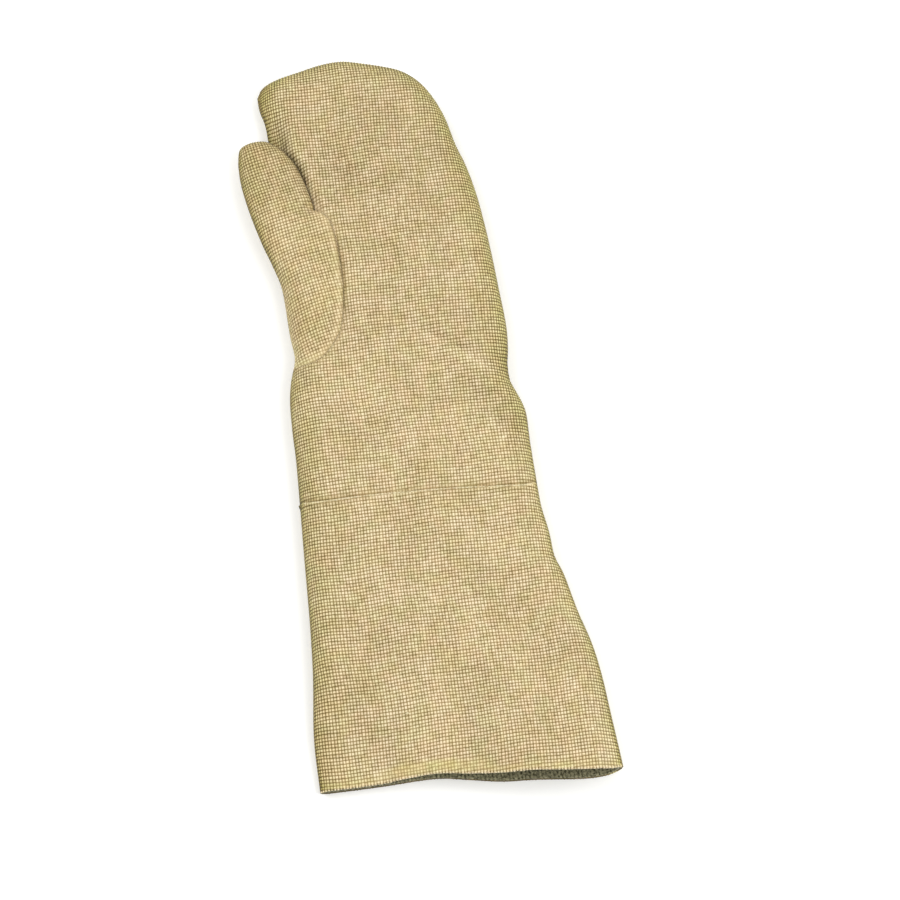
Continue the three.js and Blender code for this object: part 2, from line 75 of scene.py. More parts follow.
# Plan points of the edges and seams, in order along each
EDGES: dict[str, tuple[tuple[float, float], ...]] = {
    "cuff_thumb_side": (MOUTH_THUMB, (-108.7, -240), (-104, -191), (-101.8, -151), (-100.4, -102),
                        WRIST_THUMB),
    "hand_thumb_side": (WRIST_THUMB, (-98, -24), (-98.2, 0), (-97.2, 24), (-95.1, 36), THUMB_FOOT),
    "under_thumb": (THUMB_FOOT, (-90, 54.5), (-91.5, 73), (-92.3, 93.3), (-92.5, 125),
                    SIDE_CROTCH),
    "beside_fingers": (SIDE_CROTCH, (-90.7, 205), (-90.9, 234), (-91.9, 248), (-94.6, 259),
                       TIP_CORNER),
    "fingertips": (TIP_CORNER, (-91.4, 276.8), (-80.8, 282.2), (-60, 287.4), (-44, 291),
                   (-28.3, 292), (-13, 288.8), (17, 278.9), (29, 269.8), SHOULDER),
    "hand_outer_side": (WRIST_OUTER, (79, -32), (78.7, -7), (75.2, 4.7), (70.4, 17), (69.8, 30),
                        (71.8, 44), (72.8, 60), (71, 91.6), (67.5, 138), (63.1, 173), (57.2, 199),
                        (53, 211), (47.5, 235), (41, 252), SHOULDER),
    "cuff_outer_side": (MOUTH_OUTER, (111.4, -247), (108.5, -216), (104.6, -193), (97.4, -167),
                        (90.4, -136), (86, -124), (84.2, -104), (80.9, -83), WRIST_OUTER),
    "wrist": (WRIST_THUMB, (-87, -63.6), (-56, -63.6), (-19, -64.3), (20, -65.8), (56, -68.6),
              (70, -69), WRIST_OUTER),
    "mouth": (MOUTH_THUMB, (-64, -279.6), (-21, -278.6), (3, -282.5), (26, -286.5), (50, -288),
              (90, -291.8), (104, -291), MOUTH_OUTER),
    "thumb_seam_foot": (THUMB_FOOT, (-86, 44), (-74.4, 45.5), (-67.1, 49.7), SEAM_TURN),
    "thumb_seam_side": (SEAM_TURN, (-53.3, 67.3), (-48.1, 92.5), (-47, 115), (-48.4, 139.7),
                        (-51.2, 155.6), (-54.5, 161), CROTCH),
    "crotch_seam": (CROTCH, SIDE_CROTCH),
    "crevice": (CROTCH, (-66.8, 190), (-71.7, 206), THUMB_TIP_INNER),
    "thumb_tip": (THUMB_TIP_OUTER, (-113.2, 227.2), (-106.6, 230.6), (-99, 231), (-92, 229.3),
                  (-86, 225), THUMB_TIP_INNER),
    "thumb_outer_side": (THUMB_FOOT, (-90, 54.5), (-91.5, 73), (-92.3, 93.3), (-93.9, 113.8),
                         (-98.9, 130.7), (-104.7, 147.8), (-111.2, 173.2), (-115.5, 198.5),
                         THUMB_TIP_OUTER),
}

# Heights along the mitten: the crown, the two side seams, and the widths of the rolls beside them
SECTION_COLUMNS = ("y", "crown", "thumb_seam", "outer_fold", "thumb_roll", "outer_roll")
SECTIONS = (
    (-292, 27, 5.5, 11, 9, 11),
    (-230, 27, 7, 11, 14, 18),
    (-160, 27, 8.5, 11, 20, 22),
    (-64, 29, 9.5, 10.5, 24, 22),
    (20, 31, 10, 10, 26, 22),
    (110, 33, 10, 10, 28, 24),
    (190, 31, 9.5, 10, 34, 25),
    (292, 27, 9, 9.5, 22, 24),
)

# Height of the upper cloth across the mouth: nipped flat at the thumb side, open beyond
MOUTH_TOP = ((-109, 11), (-64, 11.5), (-46, 17), (-22, 21), (2, 25.5), (27, 35), (48, 38),
             (68, 37), (86, 37), (97, 33), (106, 24), (116, 17))

# Soft dents: x, y, half length along a direction turned from +X, half width, turn, depth. The last
# two are a crease and the fold beside it, which are too fine for the solids.
DENTS = (
    (70, 27, 17, 9, 100, 5),
    (49, -2, 27, 9, -35, 3.2),
    (-48, 212, 30, 16, -73, 3),
    (-22, 120, 20, 62, 4, 1.6),
    (22, 205, 46, 20, 60, 1.8),
    (-30, -20, 60, 22, 8, 1.5),
    (10, -150, 26, 60, 0, 2.2),
    (-66, -150, 16, 70, 3, 1.4),
    (66, -205, 14, 46, 12, 2),
    (24, 53, 30, 3.2, -35, 1.3),
    (40, 33, 24, 3.6, -35, -1.1),
)

# Soft spots of painted shade over dents and creases and along the sides, in the same form, with how
# dark each is in place of a depth; those below 0 are painted highlight
PAINTED_SHADE_SPOTS = (
    (-80, -207, 22, 16, 20, 0.12),
    (-45, -172, 16, 12, 0, 0.08),
    (-39, 208, 30, 13, -73, 0.1),
    (53.8, -2.3, 26, 10, -60, 0.16),
    (60, -14, 9, 6, -35, 0.14),
    (26, 51, 28, 2.6, -35, 0.26),
    (-12, 75, 26, 3, -18, 0.14),
    (41, 33, 26, 3.6, -35, -0.14),
    (69, 28, 16, 5, 95, 0.2),
    (-10, 200, 90, 60, 90, 0.12),
    (59.8, -30.8, 3.2, 0.8, 40, -0.6),
)


def smoothstep(low: float, high: float, value: Array) -> Array:
    """The smooth step from 0 at low to 1 at high."""
    t = np.clip((value - low) / (high - low), 0, 1)
    return t * t * (3 - 2 * t)


def mix(a: Array | float, b: Array | float, share: Array | float) -> Array:
    """The value that lies this share of the way from a to b."""
    return a + (b - a) * share


def band(low: float, full: float, last: float, end: float, value: Array) -> Array:
    """The smooth step up from low to full and down again from last to end."""
    return smoothstep(low, full, value) * (1 - smoothstep(last, end, value))


def bell(value: Array, width: Array | float, middle: float = 0) -> Array:
    """A soft hump, 1 at its middle and about a third one width away from it."""
    return np.exp(-((value - middle) / width) ** 2)


def resampled(line: Array, steps: int) -> Array:
    """The same line with points evenly spaced along it.

    Args:
        line: Points of a polyline.
        steps: How many equal steps to take.

    Returns:
        steps + 1 points.
    """
    run = np.concatenate([[0], np.cumsum(np.linalg.norm(np.diff(line, axis=0), axis=1))])
    at = np.linspace(0, run[-1], steps + 1)
    return np.column_stack([np.interp(at, run, axis) for axis in line.T])


def curve(name: str, steps: int) -> Array:
    """Evenly spaced points on the centripetal curve through the plan points of an edge.

    Args:
        name: The edge, as it is named in EDGES.
        steps: How many equal steps to take along it.

    Returns:
        An array of steps + 1 plan points.
    """
    knots = np.asarray(EDGES[name], float)
    knots = np.vstack([2 * knots[0] - knots[1], knots, 2 * knots[-1] - knots[-2]])
    t = np.linspace(0, 1, 40, endpoint=False)[:, None]
    parts = []
    for a, b, c, d in zip(knots, knots[1:], knots[2:], knots[3:]):
        before, here, after = (math.sqrt(math.dist(p, q)) for p, q in ((a, b), (b, c), (c, d)))
        leave = here * ((b - a) / before - (c - a) / (before + here) + (c - b) / here)
        arrive = here * ((c - b) / here - (d - b) / (here + after) + (d - c) / after)
        parts.append(b + leave * t + (3 * (c - b) - 2 * leave - arrive) * t ** 2
                     + (2 * (b - c) + leave + arrive) * t ** 3)
    return resampled(np.vstack([*parts, knots[-2:-1]]), steps)


def smooth_column(inputs: Sequence[float], outputs: Sequence[float]) -> Callable[[Array], Array]:
    """A smooth curve through the values of one column of a table over another."""
    x, y = np.asarray(inputs, float), np.asarray(outputs, float)
    before, after = np.maximum(np.arange(len(x)) - 1, 0), np.minimum(np.arange(len(x)) + 1,
                                                                     len(x) - 1)
    slope = (y[after] - y[before]) / (x[after] - x[before])

    def read(value: Array) -> Array:
        """The curve's value there."""
        v = np.clip(value, x[0], x[-1])
        k = np.clip(np.searchsorted(x, v, side="left") - 1, 0, len(x) - 2)
        span = x[k + 1] - x[k]
        t = (v - x[k]) / span
        return ((2 * t ** 3 - 3 * t ** 2 + 1) * y[k] + (t ** 3 - 2 * t ** 2 + t) * span * slope[k]
                + (3 * t ** 2 - 2 * t ** 3) * y[k + 1] + (t ** 3 - t ** 2) * span * slope[k + 1])

    return read


class Line:
    """A line of the plan, with the distance to it and the direction out of the mitten over it."""

    def __init__(self, points: Array) -> None:
        """Keeps the line's points, whose left side is the outside, without any that repeat."""
        is_new = np.r_[True, np.linalg.norm(np.diff(points, axis=0), axis=1) > 1e-6]
        self.points = points[is_new]
        self.step = np.diff(self.points, axis=0)
        normal = np.column_stack([-self.step[:, 1], self.step[:, 0]])
        normal /= np.linalg.norm(normal, axis=1)[:, None]
        at_point = np.vstack([normal[:1], normal[1:] + normal[:-1], normal[-1:]])
        self.normals = at_point / np.linalg.norm(at_point, axis=1)[:, None]

    def nearest(self, x: Array, y: Array) -> tuple[Array, Array]:
        """The distance inside the line and the direction out, for many points.

        Args:
            x: Their plan x.
            y: Their plan y.

        Returns:
            The signed distances, positive inside, and an (n, 2) array of directions out.
        """
        distances, outs = [], []
        size = (self.step ** 2).sum(1)
        for start in range(0, len(x), BATCH):
            p = np.column_stack([x[start:start + BATCH], y[start:start + BATCH]])
            d = p[:, None] - self.points[None, :-1]
            t = np.clip((d * self.step).sum(2) / size, 0, 1)
            d -= t[..., None] * self.step
            k = (d ** 2).sum(2).argmin(1)
            rows = np.arange(len(p))
            offset, share = d[rows, k], t[rows, k][:, None]
            out = mix(self.normals[k], self.normals[k + 1], share)
            out /= np.linalg.norm(out, axis=1)[:, None]
            length = np.linalg.norm(offset, axis=1)
            distances.append(np.where((offset * out).sum(1) > 0, -length, length))
            outs.append(out)
        return np.concatenate(distances), np.vstack(outs)


class Chart:
    """The distance inside a line and the direction out of it, charted on a grid for quick reading."""

    PITCH = 1.0
    LOW = np.array([-150.0, -325.0])
    COUNT = np.array([301, 651])

    def __init__(self, line: Line) -> None:
        """Works out the chart."""
        i, j = np.meshgrid(*(np.arange(n) for n in self.COUNT), indexing="ij")
        distance, out = line.nearest(self.LOW[0] + i.ravel() * self.PITCH,
                                     self.LOW[1] + j.ravel() * self.PITCH)
        self.values = np.column_stack([distance, out]).reshape(*self.COUNT, 3)

    def read(self, x: Array, y: Array) -> tuple[Array, Array]:
        """The signed distances inside the line and the (n, 2) directions out."""
        at = (np.column_stack([x, y]) - self.LOW) / self.PITCH
        at = np.clip(at, 0, self.COUNT - 1.001)
        k = at.astype(int)
        s, t = (at - k).T[..., None]
        i, j = k.T
        v = self.values
        found = mix(mix(v[i, j], v[i + 1, j], s), mix(v[i, j + 1], v[i + 1, j + 1], s), t)
        return found[:, 0], found[:, 1:]


def superellipse(share: Array, power: float) -> Array:
    """The rise of a rolled edge: 0 at the edge, 1 at a share of 1."""
    left = 1 - np.clip(share, 0, 1)
    return (1 - left ** power) ** (1 / power)


class Form:
    """The heights of every face of the mitten over its plan, and its cloth laid out flat."""

    ROLL_POWER = 2.3
    ROLL_STEEPNESS = 0.8  # height of a rolled edge over its width, where the cloth is laid flat
    ON_THE_LINE = 0.3  # a point this close to a line counts as on it
    UNDER_ROLL = 13.0
    MOUTH_LINE, MOUTH_REACH = -290, 125
    GROOVE, GROOVE_WIDTH = 1.6, 5
    THUMB_LIFT = 0.6
    BED_TOP, BED_CLEAR = 14.5, 0.8  # the palm under the thumb, and how far the thumb stays off it
    BED_INNER, BED_OUTER = -6.5, 8  # where the palm rises beside the crevice
    BED_FROM, BED_FULL, BED_LAST, BED_END = 140, 174, 226, 258
    THUMB_FREE_FROM, THUMB_FREE_FULL = 92, 165
    THUMB_CROWN, THUMB_AXIS_X, THUMB_TILT, THUMB_TIP_DROP = 32.5, -88, 0.12, 4
    THUMB_UNDER_HIGH, THUMB_UNDER_LOW = 15.4, 5.5
    THUMB_UNDER_OUTER_X, THUMB_UNDER_INNER_X = -114, -80
    THUMB_ROLL, THUMB_SEAM_BLEND = 17, 16
    THUMB_HEM_FROM, THUMB_HEM_RISE = 140, 2  # its underside's sewn edge rises to the side crotch
    THUMB_UNDER_FREE = (160, 186)
    SEAM_CALM = 6  # the seams' relief is full from this far inside the sides, and none on them
    WRIST_DIP, WRIST_DIP_WIDTH = 0.7, 2.4  # the hand's cloth dips into the wrist seam
    WRIST_LIP, WRIST_LIP_WIDTH = 0.8, 1.6  # and the cuff's folded edge stands proud of it
    PRESS_DIP, PRESS_AT, PRESS_WIDTH = 0.5, 7.5, 3.2  # the hem is pressed this far from the mouth
    PRESS_FROM, PRESS_TO = (-75, -50), (0, 30)
    SWEEPS = 8  # passes that settle where laid out cloth lies in the plan

    # Where painted shade and highlight and the other tone marks start and stop, along the mitten or
    # across it
    CREVICE_DARK, CREVICE_FOOT = (182, 196, 222, 236), (164, 172, 184, 194)
    CREVICE_OPENS, THUMB_INNER, THUMB_TIP_DARK = (188, 206), (-102, -88), (150, 200)
    ROOT_OF_THUMB = (62, 100, 122, 150)
    WRIST_SHOWS = ((-40, -75), (45, 65))
    HAND_SIDE, TIPS_RIM, CUFF_RIM = (-64, 0), (250, 280), (-60, -110)
    MOUTH_CORNER = (84, 98)

    def __init__(self) -> None:
        """Charts the lines that the heights depend on."""
        def run(*names: str, back: Sequence[str] = ()) -> Array:
            """The points of some edges in a row, and then of others run the other way."""
            return np.vstack([curve(name, 40) for name in names]
                             + [curve(name, 40)[::-1] for name in back])

        self.thumb_side = Chart(Line(run("cuff_thumb_side", "hand_thumb_side", "under_thumb",
                                         "beside_fingers")))
        self.outer_side = Chart(Line(run("fingertips",
                                         back=("hand_outer_side", "cuff_outer_side"))))
        self.thumb_seam = Line(run("thumb_seam_foot", "thumb_seam_side"))
        free = run("thumb_outer_side", "thumb_tip", back=("crevice",))
        self.thumb_edge = Line(free)
        self.thumb_outline = Chart(Line(np.vstack([free, self.thumb_seam.points[::-1]])))
        self.seam_chart = Chart(self.thumb_seam)
        columns = list(zip(*SECTIONS))
        self.section = {name: smooth_column(columns[0], column)
                        for name, column in zip(SECTION_COLUMNS[1:], columns[1:])}
        self.mouth_top = smooth_column(*zip(*MOUTH_TOP))
        self.crevice_x = smooth_column(*reversed(list(zip(*EDGES["crevice"]))))
        wrist, mouth = curve("wrist", 200), curve("mouth", 200)
        self.wrist_y = lambda x: np.interp(x, wrist[:, 0], wrist[:, 1])
        self.mouth_y = lambda x: np.interp(x, mouth[:, 0], mouth[:, 1])
        outer, under = curve("thumb_outer_side", 200), curve("under_thumb", 200)
        self.thumb_outer_x = lambda y: np.interp(y, outer[:, 1], outer[:, 0])
        self.under_thumb_x = lambda y: np.interp(y, under[:, 1], under[:, 0])
        share = np.linspace(0, 1, 2001) ** 2
        rise = self.ROLL_STEEPNESS * superellipse(share, self.ROLL_POWER)
        length = np.concatenate([[0], np.cumsum(np.hypot(np.diff(share), np.diff(rise)))])
        self.roll_share = share
        self.roll_extra = (length[-1] - 1) - (length - share)

    def inside(self, line: Chart | Line, x: Array, y: Array) -> Array:
        """The distance inside a line, 0 on it."""
        distance = line.read(x, y)[0] if isinstance(line, Chart) else line.nearest(x, y)[0]
        return np.maximum(distance - self.ON_THE_LINE, 0)

    def off(self, line: Line, x: Array, y: Array) -> Array:
        """The distance to either side of a line, 0 on it."""
        return np.maximum(np.abs(line.nearest(x, y)[0]) - self.ON_THE_LINE, 0)

    def seam(self, x: Array, y: Array) -> Array:
        """Height of the seam between the upper and the lower cloth."""
        return mix(self.section["thumb_seam"](y), self.section["outer_fold"](y),
                   smoothstep(WRIST_THUMB[0], WRIST_OUTER[0], x))

    @staticmethod
    def spots(table: Iterable[Sequence[float]], x: Array, y: Array) -> Array:
        """The sum of the soft spots of a table such as DENTS."""
        total = np.zeros_like(x)
        for cx, cy, length, width, turn, depth in table:
            c, s = math.cos(math.radians(turn)), math.sin(math.radians(turn))
            along = ((x - cx) * c + (y - cy) * s) / length
            across = ((y - cy) * c - (x - cx) * s) / width
            total += depth * np.exp(-along ** 2 - across ** 2)
        return total

    def dents(self, x: Array, y: Array) -> Array:
        """How deep the soft dents are there."""
        return self.spots(DENTS, x, y)

    def crown(self, x: Array, y: Array) -> Array:
        """Height of the upper cloth away from the edges."""
        opened = 1 - smoothstep(self.MOUTH_LINE, self.MOUTH_LINE + self.MOUTH_REACH, y)
        height = mix(self.section["crown"](y) - self.dents(x, y), self.mouth_top(x), opened)
        bed = ((1 - smoothstep(self.BED_INNER, self.BED_OUTER, x - self.crevice_x(y)))
               * smoothstep(self.BED_FROM, self.BED_FULL, y)
               * (1 - smoothstep(self.BED_LAST, self.BED_END, y)))
        return mix(height, self.BED_TOP, bed)

    def rolls(self, x: Array, y: Array, widths: tuple[Array, Array], inset: float) -> Array:
        """The rolls beside both side seams, for a face that lies inset inside the outer one."""
        total = 1.0
        for line, width in zip((self.thumb_side, self.outer_side), widths):
            share = (self.inside(line, x, y) - inset) / (width - inset)
            total = total * superellipse(share, self.ROLL_POWER)
        return total

    def upper(self, x: Array, y: Array, inset: float = 0, gap: float = 0) -> Array:
        """Height of the upper cloth, or of a face that lies inset inside it."""
        seam = self.seam(x, y) + gap
        widths = self.section["thumb_roll"](y), self.section["outer_roll"](y)
        return seam + (self.crown(x, y) - seam - inset) * self.rolls(x, y, widths, inset)

    def lower(self, x: Array, y: Array, inset: float = 0, gap: float = 0) -> Array:
        """Height of the lower cloth, or of a face that lies inset inside it."""
        seam = self.seam(x, y) - gap
        widths = np.minimum(self.UNDER_ROLL, self.section["thumb_roll"](y)), self.UNDER_ROLL
        return seam - (seam - inset) * self.rolls(x, y, widths, inset)

    def palm(self, x: Array, y: Array) -> Array:
        """Height of the palm, pulled in at the thumb seam."""
        pull = bell(self.off(self.thumb_seam, x, y), self.GROOVE_WIDTH)
        margin = np.clip(self.inside(self.thumb_side, x, y) / self.GROOVE_WIDTH, 0, 1)
        return self.upper(x, y, 0, GAP / 2) - self.GROOVE * pull * margin

    def back(self, x: Array, y: Array) -> Array:
        """Height of the back of the hand, which the mitten lies on."""
        return self.lower(x, y, 0, GAP / 2)

    def seamed(self, height: Height, sign: float) -> Height:
        """A hand or cuff face with its cloth sewn in at the wrist and pressed at the mouth.

        Args:
            height: The plain face.
            sign: 1 for an upper face, -1 for a lower one.

        Returns:
            The height of the sewn face.
        """
        def sewn(x: Array, y: Array) -> Array:
            """The face's height with its seam and its pressed line."""
            up = y - self.wrist_y(x)
            calm = np.clip(self.off_sides(x, y) / self.SEAM_CALM, 0, 1)
            dip = np.where(up > 0, self.WRIST_DIP * bell(up, self.WRIST_DIP_WIDTH), 0)
            if sign < 0:
                return height(x, y) + dip * calm
            lip = np.where(up <= 0, self.WRIST_LIP * bell(up, self.WRIST_LIP_WIDTH), 0)
            return height(x, y) + (lip - dip - self.PRESS_DIP * self.pressed(x, y)) * calm
        return sewn

    def off_sides(self, x: Array, y: Array) -> Array:
        """The distance inside the nearer side of the mitten."""
        return np.minimum(self.inside(self.thumb_side, x, y), self.inside(self.outer_side, x, y))

    def pressed(self, x: Array, y: Array) -> Array:
        """How much the iron has pressed the hem there, from 0 to 1."""
        line = bell(y - self.mouth_y(x), self.PRESS_WIDTH, self.PRESS_AT)
        return line * smoothstep(*self.PRESS_FROM, x) * (1 - smoothstep(*self.PRESS_TO, x))

    def hand_marks(self, x: Array, y: Array, under: bool) -> Array:
        """How the cloth of the hand is marked with painted shade and painted highlight.

        Each mark is a strength times a bell, whose width and middle are in millimetres from a
        seam or an edge.

        Args:
            x: Plan x.
            y: Plan y.
            under: Whether this is the back, which the mitten lies on.

        Returns:
            The olive tint of its painted shade, its flatness and how much lighter it is, a row for
            each point.
        """
        olive, tone = self._side_shade(x, y)
        up = y - self.wrist_y(x)
        flat = 0.8 * bell(up, 3)
        # Painted shade in the wrist seam, on the hand's side of the cuff's folded edge
        tone -= 0.45 * self._wrist_shade(x) * bell(up, 1.2, 0.8)
        if not under:
            seam, past = self.off(self.thumb_seam, x, y), x - self.crevice_x(y)
            # Painted shade along the crevice between the thumb and the palm, painted light on the
            # palm's slope beside it, and painted light at the crevice's foot over the shadow of the
            # gap under the thumb
            crevice = 0.4 * bell(past, 2.2, 1) - 0.15 * bell(past, 4, 6)
            crevice *= band(*self.CREVICE_DARK, y)
            crevice -= 0.7 * band(*self.CREVICE_FOOT, y) * bell(past, 3.5)
            flat += 0.7 * bell(seam, 3)
            # Painted shade and highlight spots, and painted shade along the thumb's seam
            tone -= self.spots(PAINTED_SHADE_SPOTS, x, y) + crevice + 0.75 * self.thumb_seam_shade(y) * bell(seam, 2.2)
        return np.column_stack([olive, flat, tone])

    def cuff_marks(self, x: Array, y: Array, under: bool) -> Array:
        """The same of the cuff, with painted shade along its sides and a painted highlight on its
        folded edge at the wrist.
        """
        olive, tone = self._side_shade(x, y)
        up, deep = y - self.wrist_y(x), y - self.mouth_y(x)
        pressed = self.pressed(x, y) * (not under)
        hem = bell(deep, 2.6, 3)
        olive += 0.5 * pressed + 0.35 * hem
        flat = 0.9 * bell(up, 2) + 0.8 * pressed + 0.6 * hem
        uneven = 0.75 + 0.25 * np.sin(x / 2.9 + 3 * np.sin(x / 11))
        # A painted highlight along the cuff's folded edge at the wrist, with painted shade just below
        # it
        tone += 0.08 * pressed + self._wrist_shade(x) * (
            0.6 * uneven * bell(up, 0.8, -0.9) - 0.3 * bell(up, 0.9, -3))
        if under:
            rim, corner = bell(deep, 1.5), smoothstep(*self.MOUTH_CORNER, x)
            olive += rim * corner
            tone -= mix(1.5, 0.5, corner) * rim
        else:
            # Painted shade and highlight spots
            tone -= self.spots(PAINTED_SHADE_SPOTS, x, y)
        return np.column_stack([olive, flat, tone])

    def thumb_marks(self, x: Array, y: Array, under: bool) -> Array:
        """The same of the thumb, whose cloth is pressed beside its seam, with painted shade along its
        free edges and in its seam.
        """
        side, seam = self.off(self.thumb_edge, x, y), self.off(self.thumb_seam, x, y)
        sewn, inner = 0.0 if under else 1.0, smoothstep(*self.THUMB_INNER, x)
        olive, tone = self._fold_shade(side, 0.7 * bell(side, 14))
        olive *= 1 - 0.8 * inner
        tone *= 1 - 0.9 * inner * (1 - smoothstep(*self.CREVICE_OPENS, y))
        # A painted highlight beside the thumb's seam and painted shade in it
        tone += sewn * (0.22 * bell(seam, 1.6, 3) - 0.35 * self.thumb_seam_shade(y) * bell(seam, 1))
        tone -= 0.08 * smoothstep(*self.THUMB_TIP_DARK, y)
        return np.column_stack([olive, 0.75 * sewn * bell(seam, 4), tone])

    def thumb_seam_shade(self, y: Array) -> Array:
        """How dark the painted shade along the thumb's seam is: most beside the root of the thumb."""
        return 0.12 + 0.88 * band(*self.ROOT_OF_THUMB, y)

    def _wrist_shade(self, x: Array) -> Array:
        """How strongly the painted shade and highlight at the wrist seam show: least in the middle.
        """
        return 0.35 + 0.65 * np.maximum(*(smoothstep(*ends, x) for ends in self.WRIST_SHOWS))

    def _side_shade(self, x: Array, y: Array) -> tuple[Array, Array]:
        """The painted shade along the sides of the hand and the cuff, where the cloth rolls under.

        Args:
            x: Plan x.
            y: Plan y.

        Returns:
            The olive tint of the painted shade, and how much lighter the cloth is.
        """
        thumb, outer = (self.inside(line, x, y) for line in (self.thumb_side, self.outer_side))
        wide = bell(thumb, 16) + smoothstep(*self.HAND_SIDE, y) * bell(outer, 16)
        rim = 1.1 + 2 * smoothstep(*self.TIPS_RIM, y) + 0.6 * smoothstep(*self.CUFF_RIM, y) * (x > 0)
        olive, tone = self._fold_shade(np.minimum(thumb, outer), wide, rim)
        return olive + 0.5 * bell(outer, 8), tone

    @staticmethod
    def _fold_shade(side: Array, wide: Array, rim: Array | float = 0.9) -> tuple[Array, Array]:
        """The same beside any fold.

        Args:
            side: The distance to the fold.
            wide: The shade that reaches far from it.
            rim: The width of its dark rim.

        Returns:
            The olive tint, and how much lighter the cloth is.
        """
        near = 1 - smoothstep(0.5, 4, side)
        return 0.4 * wide + 0.5 * near, -0.18 * wide - 0.1 * near - 0.95 * bell(side, rim)

    def thumb(self, x: Array, y: Array) -> tuple[Array, Array, Array]:
        """The thumb tube's edge, top and bottom heights."""
        free = smoothstep(self.THUMB_FREE_FROM, self.THUMB_FREE_FULL, y)
        tube = (self.THUMB_CROWN + self.THUMB_TILT * (x - self.THUMB_AXIS_X)
                - self.THUMB_TIP_DROP * smoothstep(CROTCH[1], THUMB_TIP_OUTER[1], y))
        under = mix(self.THUMB_UNDER_LOW, self.THUMB_UNDER_HIGH,
                    smoothstep(self.THUMB_UNDER_OUTER_X, self.THUMB_UNDER_INNER_X, x))
        roll = mix(self.section["thumb_roll"](y), self.THUMB_ROLL, free)
        beside = self.inside(self.thumb_side, x, y)
        side, palm = superellipse(beside / roll, self.ROLL_POWER), self.palm(x, y)
        at_seam = palm + self.THUMB_LIFT * side
        off_seam = superellipse(self.off(self.thumb_seam, x, y) / self.THUMB_SEAM_BLEND,
                                self.ROLL_POWER)
        off_edge = self.off(self.thumb_edge, x, y)
        free_edge = mix(self.seam(x, y) + GAP / 2, (tube + under) / 2, free)
        crest = mix(self.section["crown"](y) - self.dents(x, y), tube, free)
        form = free_edge + (crest - free_edge) * superellipse(off_edge / roll, self.ROLL_POWER)
        edge = mix(at_seam, free_edge, off_seam)
        bottom = edge + (under - edge) * superellipse(off_edge / self.THUMB_ROLL, self.ROLL_POWER)
        bottom = np.where(beside > 0, np.maximum(bottom, palm + self.BED_CLEAR), bottom)
        return edge, mix(at_seam, form, off_seam), bottom

    def thumb_top(self, x: Array, y: Array) -> Array:
        """Height of the thumb's upper face."""
        return self.thumb(x, y)[1]

    def thumb_under(self, x: Array, y: Array) -> Array:
        """Height of the thumb's underside, which runs in to the side seam below the crotch."""
        outer, inner = self.thumb_outer_x(y), self.under_thumb_x(np.minimum(y, SIDE_CROTCH[1]))
        share = np.clip((x - outer) / np.maximum(inner - outer, 0.5), 0, 1)
        seam, edge = self.thumb_hem(inner, y), self.thumb(outer, y)[0]
        wedge = seam + (edge - seam) * (1 - superellipse(share, self.ROLL_POWER))
        return mix(wedge, self.thumb(x, y)[2], smoothstep(*self.THUMB_UNDER_FREE, y))

    def thumb_hem(self, x: Array, y: Array) -> Array:
        """Height of the edge along which the thumb's underside is sewn in."""
        return (self.seam(x, y) + GAP / 2
                + self.THUMB_HEM_RISE * smoothstep(self.THUMB_HEM_FROM, SIDE_CROTCH[1], y))

    def spread(self, plan: Array, widths: str) -> Array:
        """Where points of the plan lie once the rolled edges are laid out flat.

        Args:
            plan: An (n, 2) array of plan points.
            widths: "upper", "lower" or "thumb", the face whose rolls are laid flat.

        Returns:
            Their (n, 2) places in the flat cloth.
        """
        flat = plan.copy()
        for line, width in zip(self._lines(widths), self._widths(plan, widths)):
            distance, out = line.read(*plan.T)
            extra = np.interp((distance - self.ON_THE_LINE) / width, self.roll_share,
                              self.roll_extra)
            flat += out * (width * extra)[:, None]
        return flat

    def gathered(self, flat: Array, widths: str) -> Array:
        """The plan points that the rolled edges bring the given points of the flat cloth to.

        Args:
            flat: An (n, 2) array of places in the flat cloth.
            widths: The face, as in spread().

        Returns:
            Their (n, 2) places in the plan. Those of the thumb stay inside its outline.
        """
        lines = self._lines(widths)
        shifts = [np.zeros_like(flat) for _ in lines]
        for _ in range(self.SWEEPS):
            for k, line in enumerate(lines):
                width = self._widths(flat - sum(shifts), widths)[k]
                distance, out = line.read(*(flat - sum(shifts) + shifts[k]).T)
                share = np.interp((distance - self.ON_THE_LINE) / width,
                                  self.roll_share - self.roll_extra, self.roll_share)
                extra = np.interp(share, self.roll_share, self.roll_extra)
                shifts[k] = out * (width * extra)[:, None]
        plan = flat - sum(shifts)
        if widths == "thumb":
            distance, out = self.thumb_outline.read(*plan.T)
            plan -= out * np.maximum(-distance, 0)[:, None]
        return plan

    def _lines(self, widths: str) -> tuple[Chart, ...]:
        """The lines that a face rolls down to."""
        return (self.thumb_outline,) if widths == "thumb" else (self.thumb_side, self.outer_side)

    def _widths(self, plan: Array, widths: str) -> tuple[Array, ...]:
        """The widths of the rolls of a face beside those lines, at each point."""
        if widths == "thumb":
            sewn = smoothstep(0, self.THUMB_SEAM_BLEND, np.abs(self.seam_chart.read(*plan.T)[0]))
            return (np.maximum(self.THUMB_ROLL * sewn, 1),)
        if widths == "upper":
            return tuple(np.maximum(self.section[name](plan[:, 1]), 1)
                         for name in ("thumb_roll", "outer_roll"))
        return (np.full(len(plan), self.UNDER_ROLL),) * 2


